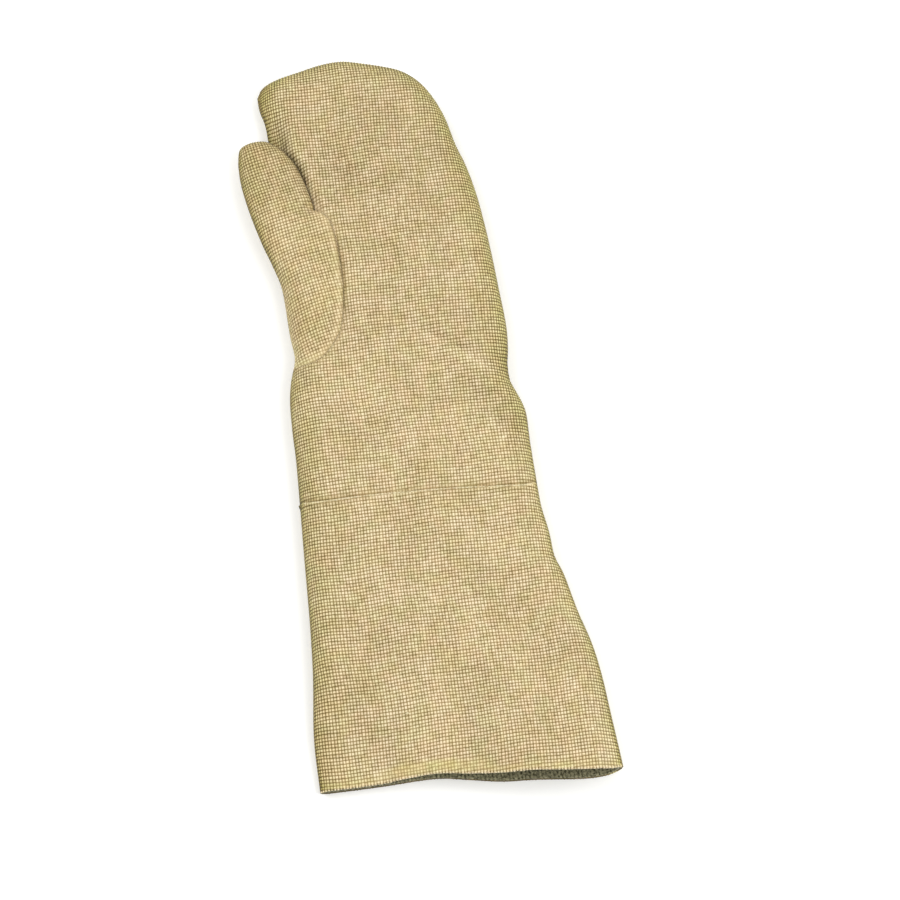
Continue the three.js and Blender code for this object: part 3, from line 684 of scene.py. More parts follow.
@dataclass(frozen=True)
class Weave:
    """A plain weave in the flat cloth: its thread spacing, its grain and how its threads wander."""

    across: float = 2.32  # millimetres between warp threads
    along: float = 2.55  # and between weft threads
    turn: float = 0.0  # degrees that the warp leans to the left of +Y
    wander: float = 0.55
    seed: int = 3

    @property
    def pitch(self) -> Array:
        """Both thread spacings."""
        return np.array([self.across, self.along])

    @property
    def grain(self) -> Array:
        """The rotation from the flat cloth to its threads."""
        c, s = math.cos(math.radians(self.turn)), math.sin(math.radians(self.turn))
        return np.array([[c, s], [-s, c]])

    def drift(self, at: Array) -> Array:
        """How far the threads stray from straight lines there, in waves 57 to 240 mm long."""
        phase = np.random.RandomState(self.seed).uniform(0, 2 * math.pi, 6)
        x, y = at.T * 2 * math.pi
        sideways = np.sin(y / 173 + phase[0]) + 0.6 * np.sin(y / 71 + x / 190 + phase[1])
        lengthways = np.sin(x / 128 + phase[2]) + 0.7 * np.sin(x / 57 + y / 240 + phase[3])
        return self.wander * np.column_stack([sideways, lengthways])

    def threads(self, flat: Array) -> Array:
        """Places in the flat cloth, counted in threads."""
        at = flat @ self.grain.T
        return (at - self.drift(at)) / self.pitch

    def flat(self, threads: Array) -> Array:
        """Places counted in threads, in the flat cloth."""
        at = threads * self.pitch
        return (at + self.drift(at)) @ self.grain

    def stray(self, nodes: Array) -> Array:
        """How far each thread strays from its neighbours, at nodes counted in half threads."""
        strays = []
        for axis in (0, 1):
            number = nodes[:, axis] - nodes[:, axis].min()
            random = np.random.RandomState(self.seed + 5 + axis)
            phase, period, size = random.uniform((0, 26, 0.02), (2 * math.pi, 70, 0.11),
                                                 (number.max() + 1, 3)).T[:, number]
            strays.append(size * np.sin(2 * math.pi * nodes[:, 1 - axis] / period + phase))
        return np.column_stack(strays)


def is_inside(loop: Array, points: Array) -> Array:
    """Whether each point lies inside a closed loop."""
    ends = np.roll(loop, -1, axis=0)
    rise = np.where(ends[:, 1] == loop[:, 1], 1e-12, ends[:, 1] - loop[:, 1])
    slope = (ends[:, 0] - loop[:, 0]) / rise
    found = []
    for start in range(0, len(points), BATCH):
        x, y = points[start:start + BATCH].T[..., None]
        crossed = ((loop[:, 1] > y) != (ends[:, 1] > y)) & (
            x < loop[:, 0] + (y - loop[:, 1]) * slope)
        found.append(crossed.sum(1) % 2 == 1)
    return np.concatenate(found) if found else np.zeros(0, bool)


def fill_loop(loop: Array, clear: float = 0.42) -> tuple[Array, list[tuple[int, ...]]]:
    """Fills a closed loop with a unit lattice, joined to the loop by a band of triangles.

    Args:
        loop: The loop's points, anticlockwise, in lattice units.
        clear: How far the lattice's nodes keep off the loop.

    Returns:
        The lattice nodes used, and faces that count the loop's points first and then the nodes.
    """
    low = np.floor(loop.min(0)).astype(int) - 1
    count = np.ceil(loop.max(0)).astype(int) + 2 - low
    mask = np.zeros(count, bool)
    ends = np.roll(loop, -1, axis=0)
    columns = low[0] + np.arange(count[0])
    for j in range(count[1]):
        y = low[1] + j + 1e-6
        hit = (loop[:, 1] > y) != (ends[:, 1] > y)
        a, b = loop[hit], ends[hit]
        crossings = np.sort(a[:, 0] + (y - a[:, 1]) * (b - a)[:, 0] / (b - a)[:, 1])
        mask[:, j] = np.searchsorted(crossings, columns) % 2 == 1
    share = np.arange(0, 1, 0.1)[None, :, None]
    near = (loop[:, None] + (ends - loop)[:, None] * share).reshape(-1, 2)
    for corner in ((0, 0), (1, 0), (0, 1), (1, 1)):
        k = np.floor(near).astype(int) + corner
        close = np.linalg.norm(near - k, axis=1) < clear
        mask[tuple((k[close] - low).T)] = False
    quads = mask[:-1, :-1] & mask[1:, :-1] & mask[:-1, 1:] & mask[1:, 1:]
    index = np.full(count, -1)
    index[mask] = np.arange(mask.sum()) + len(loop)
    i, j = np.nonzero(quads)
    faces = np.column_stack([index[i, j], index[i + 1, j], index[i + 1, j + 1],
                             index[i, j + 1]]).tolist()

    cells = np.pad(quads, 1)
    border = mask & ~(cells[:-1, :-1] & cells[1:, :-1] & cells[:-1, 1:] & cells[1:, 1:])
    beside = np.argwhere(border)
    place = np.full(count, -1)
    place[border] = np.arange(len(beside)) + len(loop)
    edges = [(k, (k + 1) % len(loop)) for k in range(len(loop))]
    i, j = np.nonzero(cells[1:-1, :-1] ^ cells[1:-1, 1:])
    edges += zip(place[i, j].tolist(), place[i + 1, j].tolist())
    i, j = np.nonzero(cells[:-1, 1:-1] ^ cells[1:, 1:-1])
    edges += zip(place[i, j].tolist(), place[i, j + 1].tolist())
    flat = np.vstack([loop, beside + low])
    _, _, web, origins, _, _ = delaunay_2d_cdt([Vector(p) for p in flat.tolist()], edges, [], 0,
                                               1e-6)
    names = np.array([origin[0] for origin in origins])
    web = names[np.array(web)]
    corners = flat[web]
    middle = corners.mean(1)
    cell = np.floor(middle).astype(int) - low + 1
    kept = is_inside(loop, middle) & ~cells[tuple(np.clip(cell, 0, count).T)]
    web, corners = web[kept], corners[kept]
    turned = np.cross(corners[:, 1] - corners[:, 0], corners[:, 2] - corners[:, 0]) < 0
    web[turned] = web[turned][:, ::-1]
    to_node = np.concatenate([np.arange(len(loop)), index[tuple(beside.T)]])
    faces += to_node[web].tolist()
    return np.argwhere(mask) + low, faces


def face_arrays(faces: list[Sequence[int]]) -> list[Array]:
    """The triangles and the quads of a list of faces, each as one array."""
    found = [np.array([f for f in faces if len(f) == n], int).reshape(-1, n) for n in (3, 4)]
    return [array for array in found if len(array)]


def vertex_normals(points: Array, faces: list[Sequence[int]]) -> Array:
    """Unit normals of a mesh at its points."""
    total = np.zeros_like(points)
    for array in face_arrays(faces):
        a, b, c = (points[array[:, k]] for k in range(3))
        is_quad = array.shape[1] == 4
        normal = np.cross(c - a, points[array[:, 3]] - b) if is_quad else np.cross(b - a, c - a)
        normal /= np.maximum(np.linalg.norm(normal, axis=1), 1e-9)[:, None]
        for k in range(array.shape[1]):
            np.add.at(total, array[:, k], normal)
    return total / np.maximum(np.linalg.norm(total, axis=1), 1e-9)[:, None]


@dataclass
class Surface:
    """One face of a piece of cloth. The points of its loop come first.

    A row of dress says how a point is dressed: where it lies in the weave, counted in threads
    across and along, and its green, flat and tone marks.
    """

    points: Array
    dress: Array
    faces: list[Sequence[int]]
    loop: int


@dataclass
class Cloth:
    """How a face of cloth is worked out over its plan."""

    form: Form
    height: Height
    marks: Callable[[Array, Array, bool], Array]
    rolls: str  # "upper", "lower" or "thumb", the rolls that are laid out flat
    weave: Weave = Weave()
    down: bool = False
    relief: float = 0.34  # millimetres that the threads stand out where they cross
    shape: tuple[float, ...] = (1.0, -0.45, -1.3)  # share of it on a crossing, beside it, in a hole
    uneven: float = 0.15  # how much these differ by chance
    pressed_flat: float = 0.6  # the share of it that a flattened place loses
    ease: float = 9.0  # how far a correction of the loop's height reaches into the face

    def spread(self, plan: Array) -> Array:
        """The plan points laid out in the flat cloth."""
        return self.form.spread(plan, self.rolls)

    def surface(self, loop: Array, step: int = 1, loop_height: Array | None = None) -> Surface:
        """Builds the face inside a loop.

        Args:
            loop: The plan points round it, anticlockwise.
            step: Half threads between its points. 1 shows the threads.
            loop_height: Heights of the loop's points, where they differ from the face's own.

        Returns:
            The face, with its threads in relief where step is 1.
        """
        around = self.weave.threads(self.spread(loop))
        nodes, faces = fill_loop(around * 2 / step)
        crossings = nodes * step / 2
        flat = self.weave.flat(crossings + self.weave.stray(nodes) if step == 1 else crossings)
        plan = np.vstack([loop, self.form.gathered(flat, self.rolls)])
        z = self.height(*plan.T)
        marks = self.marks(*plan.T, self.down)
        if loop_height is not None:
            wrong = loop_height - z[:len(loop)]
            z += self._eased(plan, loop, wrong)
        points = np.column_stack([plan, z])
        if self.down:
            faces = [face[::-1] for face in faces]
        if step == 1:
            random = np.random.RandomState(self.weave.seed)
            shape = np.choose((nodes % 2).sum(1), self.shape)
            shape *= 1 + self.uneven * random.uniform(-1, 1, len(nodes))
            shape *= 1 - self.pressed_flat * np.clip(marks[len(loop):, 1], 0, 1)
            normals = vertex_normals(points, faces)[len(loop):]
            points[len(loop):] += normals * (self.relief * shape)[:, None]
        dress = np.column_stack([np.vstack([around, crossings]), marks])
        return Surface(points, dress, faces, len(loop))

    def _eased(self, plan: Array, loop: Array, wrong: Array) -> Array:
        """Carries the loop's corrections a short way into the face."""
        total = np.zeros(len(plan))
        moved = loop[np.abs(wrong) > 1e-9]
        if not len(moved):
            return total
        low, high = moved.min(0) - self.ease, moved.max(0) + self.ease
        near = np.flatnonzero(((plan > low) & (plan < high)).all(1))
        for rows in np.array_split(near, len(near) // BATCH + 1):
            gap = np.linalg.norm(plan[rows, None] - loop[None], axis=2)
            weight = 1 / (gap + 0.05) ** 4
            reach = np.clip(1 - gap.min(1) / self.ease, 0, 1) ** 2
            total[rows] = (weight @ wrong) / weight.sum(1) * reach
        return total


def weld(surfaces: Sequence[Surface]) -> tuple[Array, Array, list[tuple[int, ...]], list[Array]]:
    """Joins faces where the points of their loops meet.

    Args:
        surfaces: The faces.

    Returns:
        The points, their dress, the joined faces, and each surface's own points by number.
    """
    points, dress, faces, numbers, known = [], [], [], [], {}
    total = 0
    for surface in surfaces:
        own = np.empty(len(surface.points), int)
        fresh = []
        for k, point in enumerate(np.round(surface.points[:surface.loop], 3).tolist()):
            own[k] = known.setdefault(tuple(point), total + len(fresh))
            if own[k] == total + len(fresh):
                fresh.append(k)
        inner = np.arange(surface.loop, len(surface.points))
        own[inner] = total + len(fresh) + np.arange(len(inner))
        used = np.concatenate([np.array(fresh, int), inner])
        points.append(surface.points[used])
        dress.append(surface.dress[used])
        faces += [tuple(own[list(face)].tolist()) for face in surface.faces]
        numbers.append(own)
        total += len(used)
    return np.vstack(points), np.vstack(dress), faces, numbers


def open_edges(faces: Iterable[Sequence[int]]) -> list[tuple[int, int]]:
    """The edges that only one face has, in its own direction."""
    edges = {(face[k - 1], face[k]) for face in faces for k in range(len(face))}
    return [(a, b) for a, b in edges if (b, a) not in edges]


def cloth_wall(outer: Sequence[Surface], inner: Sequence[Surface], thickness: float,
               is_level: Callable[[Array], Array]) -> tuple[Array, Array, list[tuple[int, ...]]]:
    """Closes a wall of cloth between its fine outer faces and coarser copies of them.

    Args:
        outer: The outer faces.
        inner: Copies of them with the same loops and fewer points, still in the same place.
        thickness: How far the copies move inwards.
        is_level: Tells which points of the wall's edges have a level end face.

    Returns:
        The points, their dress and the faces of the closed wall.
    """
    points, dress, faces, numbers = weld(outer)
    lining, lining_dress, lining_faces, lining_numbers = weld(inner)
    normals = vertex_normals(lining, lining_faces)
    edge = np.zeros(len(lining), bool)
    edge[[a for a, _ in open_edges(lining_faces)]] = True
    normals[edge & is_level(lining), 2] = 0
    normals /= np.linalg.norm(normals, axis=1)[:, None]
    lining = lining - normals * thickness
    partner = {}
    for surface, own, other in zip(outer, numbers, lining_numbers):
        partner.update(zip(own[:surface.loop].tolist(),
                           (other[:surface.loop] + len(points)).tolist()))
    rims = [(b, a, partner[a], partner[b]) for a, b in sorted(open_edges(faces))]
    faces += rims + [tuple(k + len(points) for k in face[::-1]) for face in lining_faces]
    return np.vstack([points, lining]), np.vstack([dress, lining_dress]), faces


def grains(places: Array, along: Array, sizes: Array, sides: int = 8,
           rows: int = 5) -> tuple[Array, list[tuple[int, ...]]]:
    """Small rounded grains, such as stitches or the crowns of threads.

    Args:
        places: Their middles.
        along: The direction that each is stretched in.
        sizes: Half their length, width and height, one row for each grain.
        sides: How many sides they have round.
        rows: How many rings of points they have along.

    Returns:
        Their points and faces.
    """
    turn, rise = np.meshgrid(np.arange(sides) * 2 * math.pi / sides,
                             np.linspace(0.06, 0.94, rows) * math.pi)
    unit = np.column_stack([np.cos(rise).ravel(), (np.sin(rise) * np.cos(turn)).ravel(),
                            (np.sin(rise) * np.sin(turn)).ravel()])
    number = np.arange(rows * sides).reshape(rows, sides)
    after = np.roll(number, -1, axis=1)
    faces = [*np.stack([number[:-1], number[1:], after[1:], after[:-1]], axis=-1).reshape(-1, 4)]
    along = along / np.linalg.norm(along, axis=1)[:, None]
    across = np.cross((0, 0, 1), along)
    across /= np.linalg.norm(across, axis=1)[:, None]
    axes = np.stack([along, across, np.cross(along, across)], axis=1)
    points = places[:, None] + np.einsum("nk,mk,nkj->nmj", sizes, unit, axes)
    ends = [tuple(number[0]), tuple(number[-1][::-1])]
    every = [tuple(int(k) + n * rows * sides for k in face)
             for n in range(len(places)) for face in (*faces, *ends)]
    return points.reshape(-1, 3), every


def make_mesh(name: str, points: Array, faces: Sequence[Sequence[int]],
              material: bpy.types.Material, dress: Array | None = None) -> bpy.types.Object:
    """Makes a smooth mesh object.

    Args:
        name: The piece's name.
        points: Its points in millimetres.
        faces: Its faces.
        material: Its finish.
        dress: How each point is dressed, as in Surface.

    Returns:
        The object, in metres.
    """
    mesh = bpy.data.meshes.new(name)
    mesh.from_pydata((points * MM).tolist(), [], faces)
    mesh.polygons.foreach_set("use_smooth", np.ones(len(faces), bool))
    if dress is not None:
        for attribute, columns in (("threads", dress[:, :2]), ("marks", dress[:, 2:])):
            made = mesh.attributes.new(attribute, "FLOAT_VECTOR", "POINT")
            values = np.zeros((len(dress), 3), np.float32)
            values[:, :columns.shape[1]] = columns
            made.data.foreach_set("vector", values.ravel())
    mesh.materials.append(material)
    mesh.update()
    piece = bpy.data.objects.new(name, mesh)
    bpy.context.collection.objects.link(piece)
    log.info("%s: %d faces", name, len(faces))
    return piece


def linear(colour: str) -> tuple[float, float, float, float]:
    """An sRGB hex colour as linear RGBA."""
    channels = [int(colour[k:k + 2], 16) / 255 for k in (0, 2, 4)]
    return (*(c / 12.92 if c <= 0.04045 else ((c + 0.055) / 1.055) ** 2.4 for c in channels), 1.0)


def add(tree: bpy.types.NodeTree, kind: str, inputs: dict | Sequence[object] = (),
        **settings: object) -> bpy.types.Node:
    """Adds a node.

    Args:
        tree: The node tree.
        kind: The shader node's type.
        inputs: Values, output sockets, or nodes for their first output: in the order of the
            inputs, or by the input's name or number.
        **settings: The node's own settings.

    Returns:
        The node.
    """
    made = tree.nodes.new(f"ShaderNode{kind}")
    for name, value in settings.items():
        setattr(made, name, value)
    for name, value in inputs.items() if isinstance(inputs, dict) else enumerate(inputs):
        if isinstance(value, bpy.types.Node):
            value = value.outputs[0]
        if isinstance(value, bpy.types.NodeSocket):
            tree.links.new(value, made.inputs[name])
        else:
            made.inputs[name].default_value = value
    return made


def new_material(name: str) -> tuple[bpy.types.Material, bpy.types.NodeTree]:
    """A new material and its empty node tree."""
    made = bpy.data.materials.new(name)
    made.use_nodes = True
    made.node_tree.nodes.clear()
    return made, made.node_tree


@dataclass(frozen=True)
class WovenYarn:
    """Coarse heat-resistant yarn in a plain weave, undyed.

    Each thread is matt and slightly fuzzy, and the cloth has no gloss. Its colour runs from painted
    shade in the holes to a painted highlight on the tops of the threads, so every crossing shows as a
    soft light dot with a brown-olive gap beside it.
    """

    name: str
    crown: str = "efe0be"  # tops of the threads, lighter as a painted highlight
    side: str = "c5b18d"
    valley: str = "927e55"
    gap: str = "59491f"  # holes between the threads, darker as painted shade
    warm: str = "fff9f4"  # multiplied over it in faint blotches of a few threads
    green: str = "f7fcef"
    # Its olive tint is painted shade along the folded sides, and also marks the hem at the mouth
    shade_and_hem_olive: str = "f0f6c8"  # multiplied over it along the folded sides and the hem

    # Scales of its patterns, whose places are counted in threads of 2.4 mm
    tufts: float = 6.0  # fibres in tufts of 0.4 mm
    clouds: float = 0.06  # shade that drifts over 40 mm
    warm_blotches: float = 0.21  # 11 mm wide
    green_blotches: float = 0.17  # 14 mm wide
    streak: tuple[float, float] = (0.11, 1.4)  # light that varies over 22 mm of a thread's length

    # How much of the tone each of them makes
    by_crossing: float = 0.16
    by_cloud: float = 0.25
    by_streak: float = 0.16
    by_tuft: float = 0.2
    by_depth: float = 0.15  # how unevenly dark the painted shade in the holes is
    by_olive: float = 0.4  # how much starker the threads stand out where the olive tint lies

    def material(self) -> bpy.types.Material:
        """Makes the material."""
        made, tree = new_material(self.name)
        place = add(tree, "Attribute", attribute_name="threads").outputs["Vector"]
        marks = add(tree, "Attribute", attribute_name="marks").outputs["Vector"]
        olive_share, flat, light = add(tree, "SeparateXYZ", (marks,)).outputs
        is_warp, crown = self.crossings(tree, place)
        fibres = add(tree, "TexNoise", {"Vector": place, "Scale": self.tufts, "Detail": 3.0,
                                        "Roughness": 0.7})
        clouds = add(tree, "TexNoise", {"Vector": place, "Scale": self.clouds, "Detail": 2.0})
        flatness = add(tree, "Math", (flat, 0.55), operation="MULTIPLY")
        level = add(tree, "Mix", {0: flatness, 2: crown, 3: 0.6}, data_type="FLOAT")
        below_top = add(tree, "Math", (level, 1.0), operation="SUBTRACT")
        off_middle = add(tree, "Math", (level, 0.55), operation="SUBTRACT")
        depth = add(tree, "Math", (self.chance(tree, place, 17.0), below_top),
                    operation="MULTIPLY")
        stark = add(tree, "Math", (olive_share, off_middle), operation="MULTIPLY")
        # Painted shade in the holes and a painted highlight on the threads' tops, from how near a
        # thread's top each point is
        tone = add(tree, "Math", (level, 0.775, -0.27), operation="MULTIPLY_ADD")
        for value, share in ((self.chance(tree, place, 0.5), self.by_crossing),
                             (clouds, self.by_cloud),
                             (self.streaks(tree, place, is_warp), self.by_streak),
                             (fibres, self.by_tuft), (depth, self.by_depth),
                             (stark, self.by_olive)):
            tone = add(tree, "Math", (value, share, tone), operation="MULTIPLY_ADD")
        tone = add(tree, "Math", (tone, 0.08), operation="ADD")
        tone = add(tree, "Math", (light, 0.5, tone), operation="MULTIPLY_ADD")
        ramp = add(tree, "ValToRGB", (tone,))
        ramp.color_ramp.elements[0].color = linear(self.gap)
        ramp.color_ramp.elements[1].color = linear(self.crown)
        ramp.color_ramp.elements.new(0.3).color = linear(self.valley)
        ramp.color_ramp.elements.new(0.65).color = linear(self.side)
        tints = [(add(tree, "Math", (olive_share, 1.0), operation="MINIMUM"), self.shade_and_hem_olive)]
        for scale, shift, tint in ((self.warm_blotches, 3.0, self.warm),
                                   (self.green_blotches, 40.0, self.green)):
            moved = add(tree, "VectorMath", (place, (shift,) * 3))
            blotches = add(tree, "TexNoise", {"Vector": moved, "Scale": scale, "Detail": 2.0})
            tints.append((add(tree, "Math", (blotches, 4.0, -1.6), operation="MULTIPLY_ADD",
                              use_clamp=True), tint))
        colour = ramp.outputs[0]
        for share, tint in tints:
            colour = add(tree, "Mix", {0: share, 6: colour, 7: linear(tint)}, data_type="RGBA",
                         blend_type="MULTIPLY").outputs[2]
        fuzz = add(tree, "Math", (fibres, 0.5), operation="MULTIPLY")
        relief = add(tree, "Math", (crown, 0.7, fuzz), operation="MULTIPLY_ADD")
        bump = add(tree, "Bump", {"Strength": 0.6, "Distance": 0.35 * MM, "Height": relief})
        roughness = add(tree, "Math", (fibres, 0.2, 0.8), operation="MULTIPLY_ADD")
        shader = add(tree, "BsdfPrincipled", {
            "Base Color": colour, "Roughness": roughness, "Normal": bump, "Sheen Weight": 0.1,
            "Sheen Roughness": 0.6, "Specular IOR Level": 0.2})
        add(tree, "OutputMaterial", {"Surface": shader})
        return made

    def crossings(self, tree: bpy.types.NodeTree, place: bpy.types.NodeSocket,
                  ) -> tuple[bpy.types.Node, bpy.types.Node]:
        """The plain weave: whether the warp lies on top, and how near a thread's top each point is.

        Args:
            tree: The node tree.
            place: The place in the weave, counted in threads.

        Returns:
            1 where the warp is on top, and a height that is 1 along the top of a thread.
        """
        waves = []
        for axis in add(tree, "SeparateXYZ", (place,)).outputs[:2]:
            turned = add(tree, "Math", (axis, math.pi), operation="MULTIPLY")
            waves.append(add(tree, "Math", (turned,), operation="COSINE"))
        both = add(tree, "Math", waves, operation="MULTIPLY")
        is_warp = add(tree, "Math", (both, 0.0), operation="GREATER_THAN")
        a, b = (add(tree, "Math", (wave,), operation="ABSOLUTE") for wave in waves)
        rounded = []
        for weft, warp, power in ((b, a, 0.9), (a, b, 0.5)):
            top = add(tree, "Mix", {0: is_warp, 2: weft, 3: warp}, data_type="FLOAT")
            rounded.append(add(tree, "Math", (top, power), operation="POWER"))
        return is_warp, add(tree, "Math", rounded, operation="MULTIPLY")

    def chance(self, tree: bpy.types.NodeTree, place: bpy.types.NodeSocket,
               shift: float) -> bpy.types.Node:
        """A random value for each crossing at a shift of half a thread, or for each hole."""
        moved = add(tree, "VectorMath", (place, (shift,) * 3))
        cell = add(tree, "VectorMath", (moved,), operation="FLOOR")
        return add(tree, "TexWhiteNoise", {"Vector": cell})

    def streaks(self, tree: bpy.types.NodeTree, place: bpy.types.NodeSocket,
                is_warp: bpy.types.Node) -> bpy.types.Node:
        """How light a thread is along its length, for the thread on top."""
        values = []
        for scale in (self.streak, self.streak[::-1]):
            drawn = add(tree, "VectorMath", (place, (*scale, 1)), operation="MULTIPLY")
            values.append(add(tree, "TexNoise", {"Vector": drawn, "Scale": 1.0, "Detail": 2.0}))
        return add(tree, "Mix", {0: is_warp, 2: values[0], 3: values[1]}, data_type="FLOAT")


@dataclass(frozen=True)
class RibbedFelt:
    """Coarse grey-green wool felt with ribs: dark, matt, and with pale loops that catch light."""

    name: str = "ribbed_wool_felt"
    dark: str = "45432c"
    light: str = "b3ad8a"
    loops: float = 1.7  # the scale of loops of 1.8 mm, in a place counted in ribs of 3 mm
    contrast: float = 3.2  # how strongly the loops differ
    darkening: float = -1.45
    by_rib: float = 0.35  # how much lighter the felt is on a rib, as a painted highlight

    def material(self) -> bpy.types.Material:
        """Makes the material."""
        made, tree = new_material(self.name)
        place = add(tree, "Attribute", attribute_name="threads").outputs["Vector"]
        ribs = add(tree, "Math", (add(tree, "SeparateXYZ", (place,)), math.pi),
                   operation="MULTIPLY")
        for operation in ("COSINE", "ABSOLUTE"):
            ribs = add(tree, "Math", (ribs,), operation=operation)
        loops = add(tree, "TexNoise", {"Vector": place, "Scale": self.loops, "Detail": 3.0,
                                       "Roughness": 0.7})
        tone = add(tree, "Math", (loops, self.contrast, self.darkening), operation="MULTIPLY_ADD")
        tone = add(tree, "Math", (ribs, self.by_rib, tone), operation="MULTIPLY_ADD")
        ramp = add(tree, "ValToRGB", (tone,))
        ramp.color_ramp.elements[0].color = linear(self.dark)
        ramp.color_ramp.elements[1].color = linear(self.light)
        bump = add(tree, "Bump", {"Strength": 0.8, "Distance": 0.5 * MM, "Height": tone})
        shader = add(tree, "BsdfPrincipled", {"Base Color": ramp, "Roughness": 1.0, "Normal": bump,
                                              "Sheen Weight": 0.2, "Specular IOR Level": 0.2})
        add(tree, "OutputMaterial", {"Surface": shader})
        return made


@dataclass(frozen=True)
class SpunThread:
    """Spun sewing thread, undyed: paler and tighter than the cloth's yarn, with a slight gloss."""

    name: str = "spun_sewing_thread"
    light: str = "eadfba"
    dark: str = "ab9b6a"
    plies: float = 900.0  # the scale of its twist, a millimetre or so

    def material(self) -> bpy.types.Material:
        """Makes the material."""
        made, tree = new_material(self.name)
        place = add(tree, "TexCoord").outputs["Object"]
        twist = add(tree, "TexNoise", {"Vector": place, "Scale": self.plies, "Detail": 2.0})
        ramp = add(tree, "ValToRGB", (twist,))
        for stop, at, colour in zip(ramp.color_ramp.elements, (0.3, 0.6), (self.dark, self.light)):
            stop.position, stop.color = at, linear(colour)
        bump = add(tree, "Bump", {"Strength": 0.5, "Distance": 0.1 * MM, "Height": twist})
        shader = add(tree, "BsdfPrincipled", {"Base Color": ramp, "Roughness": 0.7, "Normal": bump,
                                              "Sheen Weight": 0.1})
        add(tree, "OutputMaterial", {"Surface": shader})
        return made


def stretch(name: str, spacing: float = 1.25, back: bool = False) -> Array:
    """Points along a whole edge, this far apart, run the other way if asked."""
    line = curve(name, 200)
    length = np.linalg.norm(np.diff(line, axis=0), axis=1).sum()
    points = curve(name, max(2, round(length / spacing)))
    return points[::-1] if back else points


def joined(*stretches: Array) -> Array:
    """A loop from stretches that each end where the next begins."""
    return np.vstack([points[:-1] for points in stretches])


def round_corner(before: Array, after: Array, reach: int = 2) -> None:
    """Rounds the corner where two stretches meet, over this many points of each."""
    t = np.linspace(0, 1, 2 * reach + 1)[:, None]
    arc = (1 - t) ** 2 * before[-1 - reach] + 2 * t * (1 - t) * after[0] + t ** 2 * after[reach]
    before[-1 - reach:], after[:reach + 1] = arc[:reach + 1], arc[reach:]


def moved_aside(points: Array, distance: float) -> Array:
    """A line moved to its right by a distance."""
    course = np.gradient(points, axis=0)
    course /= np.linalg.norm(course, axis=1)[:, None]
    return points + distance * np.column_stack([course[:, 1], -course[:, 0]])


def opening_seam(side: float) -> list[Array]:
    """The seam round the thumb's opening in three stretches from its foot to the side crotch.

    Args:
        side: 1 for the palm's side of the gap, -1 for the thumb's.

    Returns:
        The stretches along the foot, up the side and across to the side crotch.
    """
    parts = [stretch(name) for name in ("thumb_seam_foot", "thumb_seam_side", "crotch_seam")]
    whole = moved_aside(joined(*parts), side * SEWN / 2)
    whole = np.vstack([whole, moved_aside(parts[2], side * SEWN / 2)[-1:]])
    marks = np.cumsum([0] + [len(part) - 1 for part in parts])
    return [whole[a:b + 1] for a, b in zip(marks, marks[1:])]


class Seat(Enum):
    """Which part of the mitten a piece belongs to."""

    PALM = "palm_panel"
    BACK = "back_panel"
    THUMB = "thumb"
    CUFF = "cuff"
    LINING = "cuff_lining"


def place(piece: bpy.types.Object, seat: Seat, slot: str, replaces: bool = False) -> None:
    """Puts a piece on the mitten's one body, and in its solid's place if it stands for it."""
    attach(piece, "root")
    if replaces:
        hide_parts(seat.value)


@dataclass
class Hand:
    """The palm and the back of the hand: two panels sewn together at the sides."""

    form: Form
    cloth: bpy.types.Material
    coarse: int = 5  # half threads between the points of the inner faces
    corner_reach: float = 6.0  # how far the rounding of the corner beside the fingertips reaches

    def build(self) -> None:
        """Builds both panels."""
        form = self.form
        wrist = stretch("wrist") + (0, SEWN / 2)
        outer = stretch("hand_outer_side")
        outer[0] = wrist[-1]
        low_side = stretch("hand_thumb_side", back=True)
        low_side[-1] = wrist[0]
        tips = stretch("fingertips", back=True)
        fingers = stretch("beside_fingers", back=True)
        round_corner(tips, fingers, 3)
        seam = opening_seam(1)
        seam[2][-1], seam[0][0] = fingers[-1], low_side[0]
        palm = joined(wrist, outer, tips, fingers, *(part[::-1] for part in seam[::-1]), low_side)
        back = joined(wrist, outer, tips, fingers, stretch("under_thumb", back=True), low_side)
        for seat, loop, height, rolls, sign in (
                (Seat.PALM, palm, form.palm, "upper", 1), (Seat.BACK, back, form.back, "lower", -1)):
            cloth = Cloth(form, form.seamed(height, sign), form.hand_marks, rolls, down=sign < 0)
            edge = cloth.height(*loop.T)
            corner = np.linalg.norm(loop - TIP_CORNER, axis=1) < self.corner_reach
            edge[corner] = form.seam(*loop[corner].T) + sign * GAP / 2
            faces, copies = ([cloth.surface(loop, step, edge)] for step in (1, self.coarse))
            wall = cloth_wall(faces, copies, CLOTH, self.is_side)
            piece = make_mesh(f"{seat.value}_cloth", wall[0], wall[2], self.cloth, wall[1])
            place(piece, seat, "cloth", replaces=True)

    def is_side(self, points: Array) -> Array:
        """Whether points lie on a side seam or on its rounded corner."""
        plan = points[:, :2]
        at_corner = np.linalg.norm(plan - TIP_CORNER, axis=1) < self.corner_reach
        return (self.form.off_sides(*plan.T) == 0) | at_corner


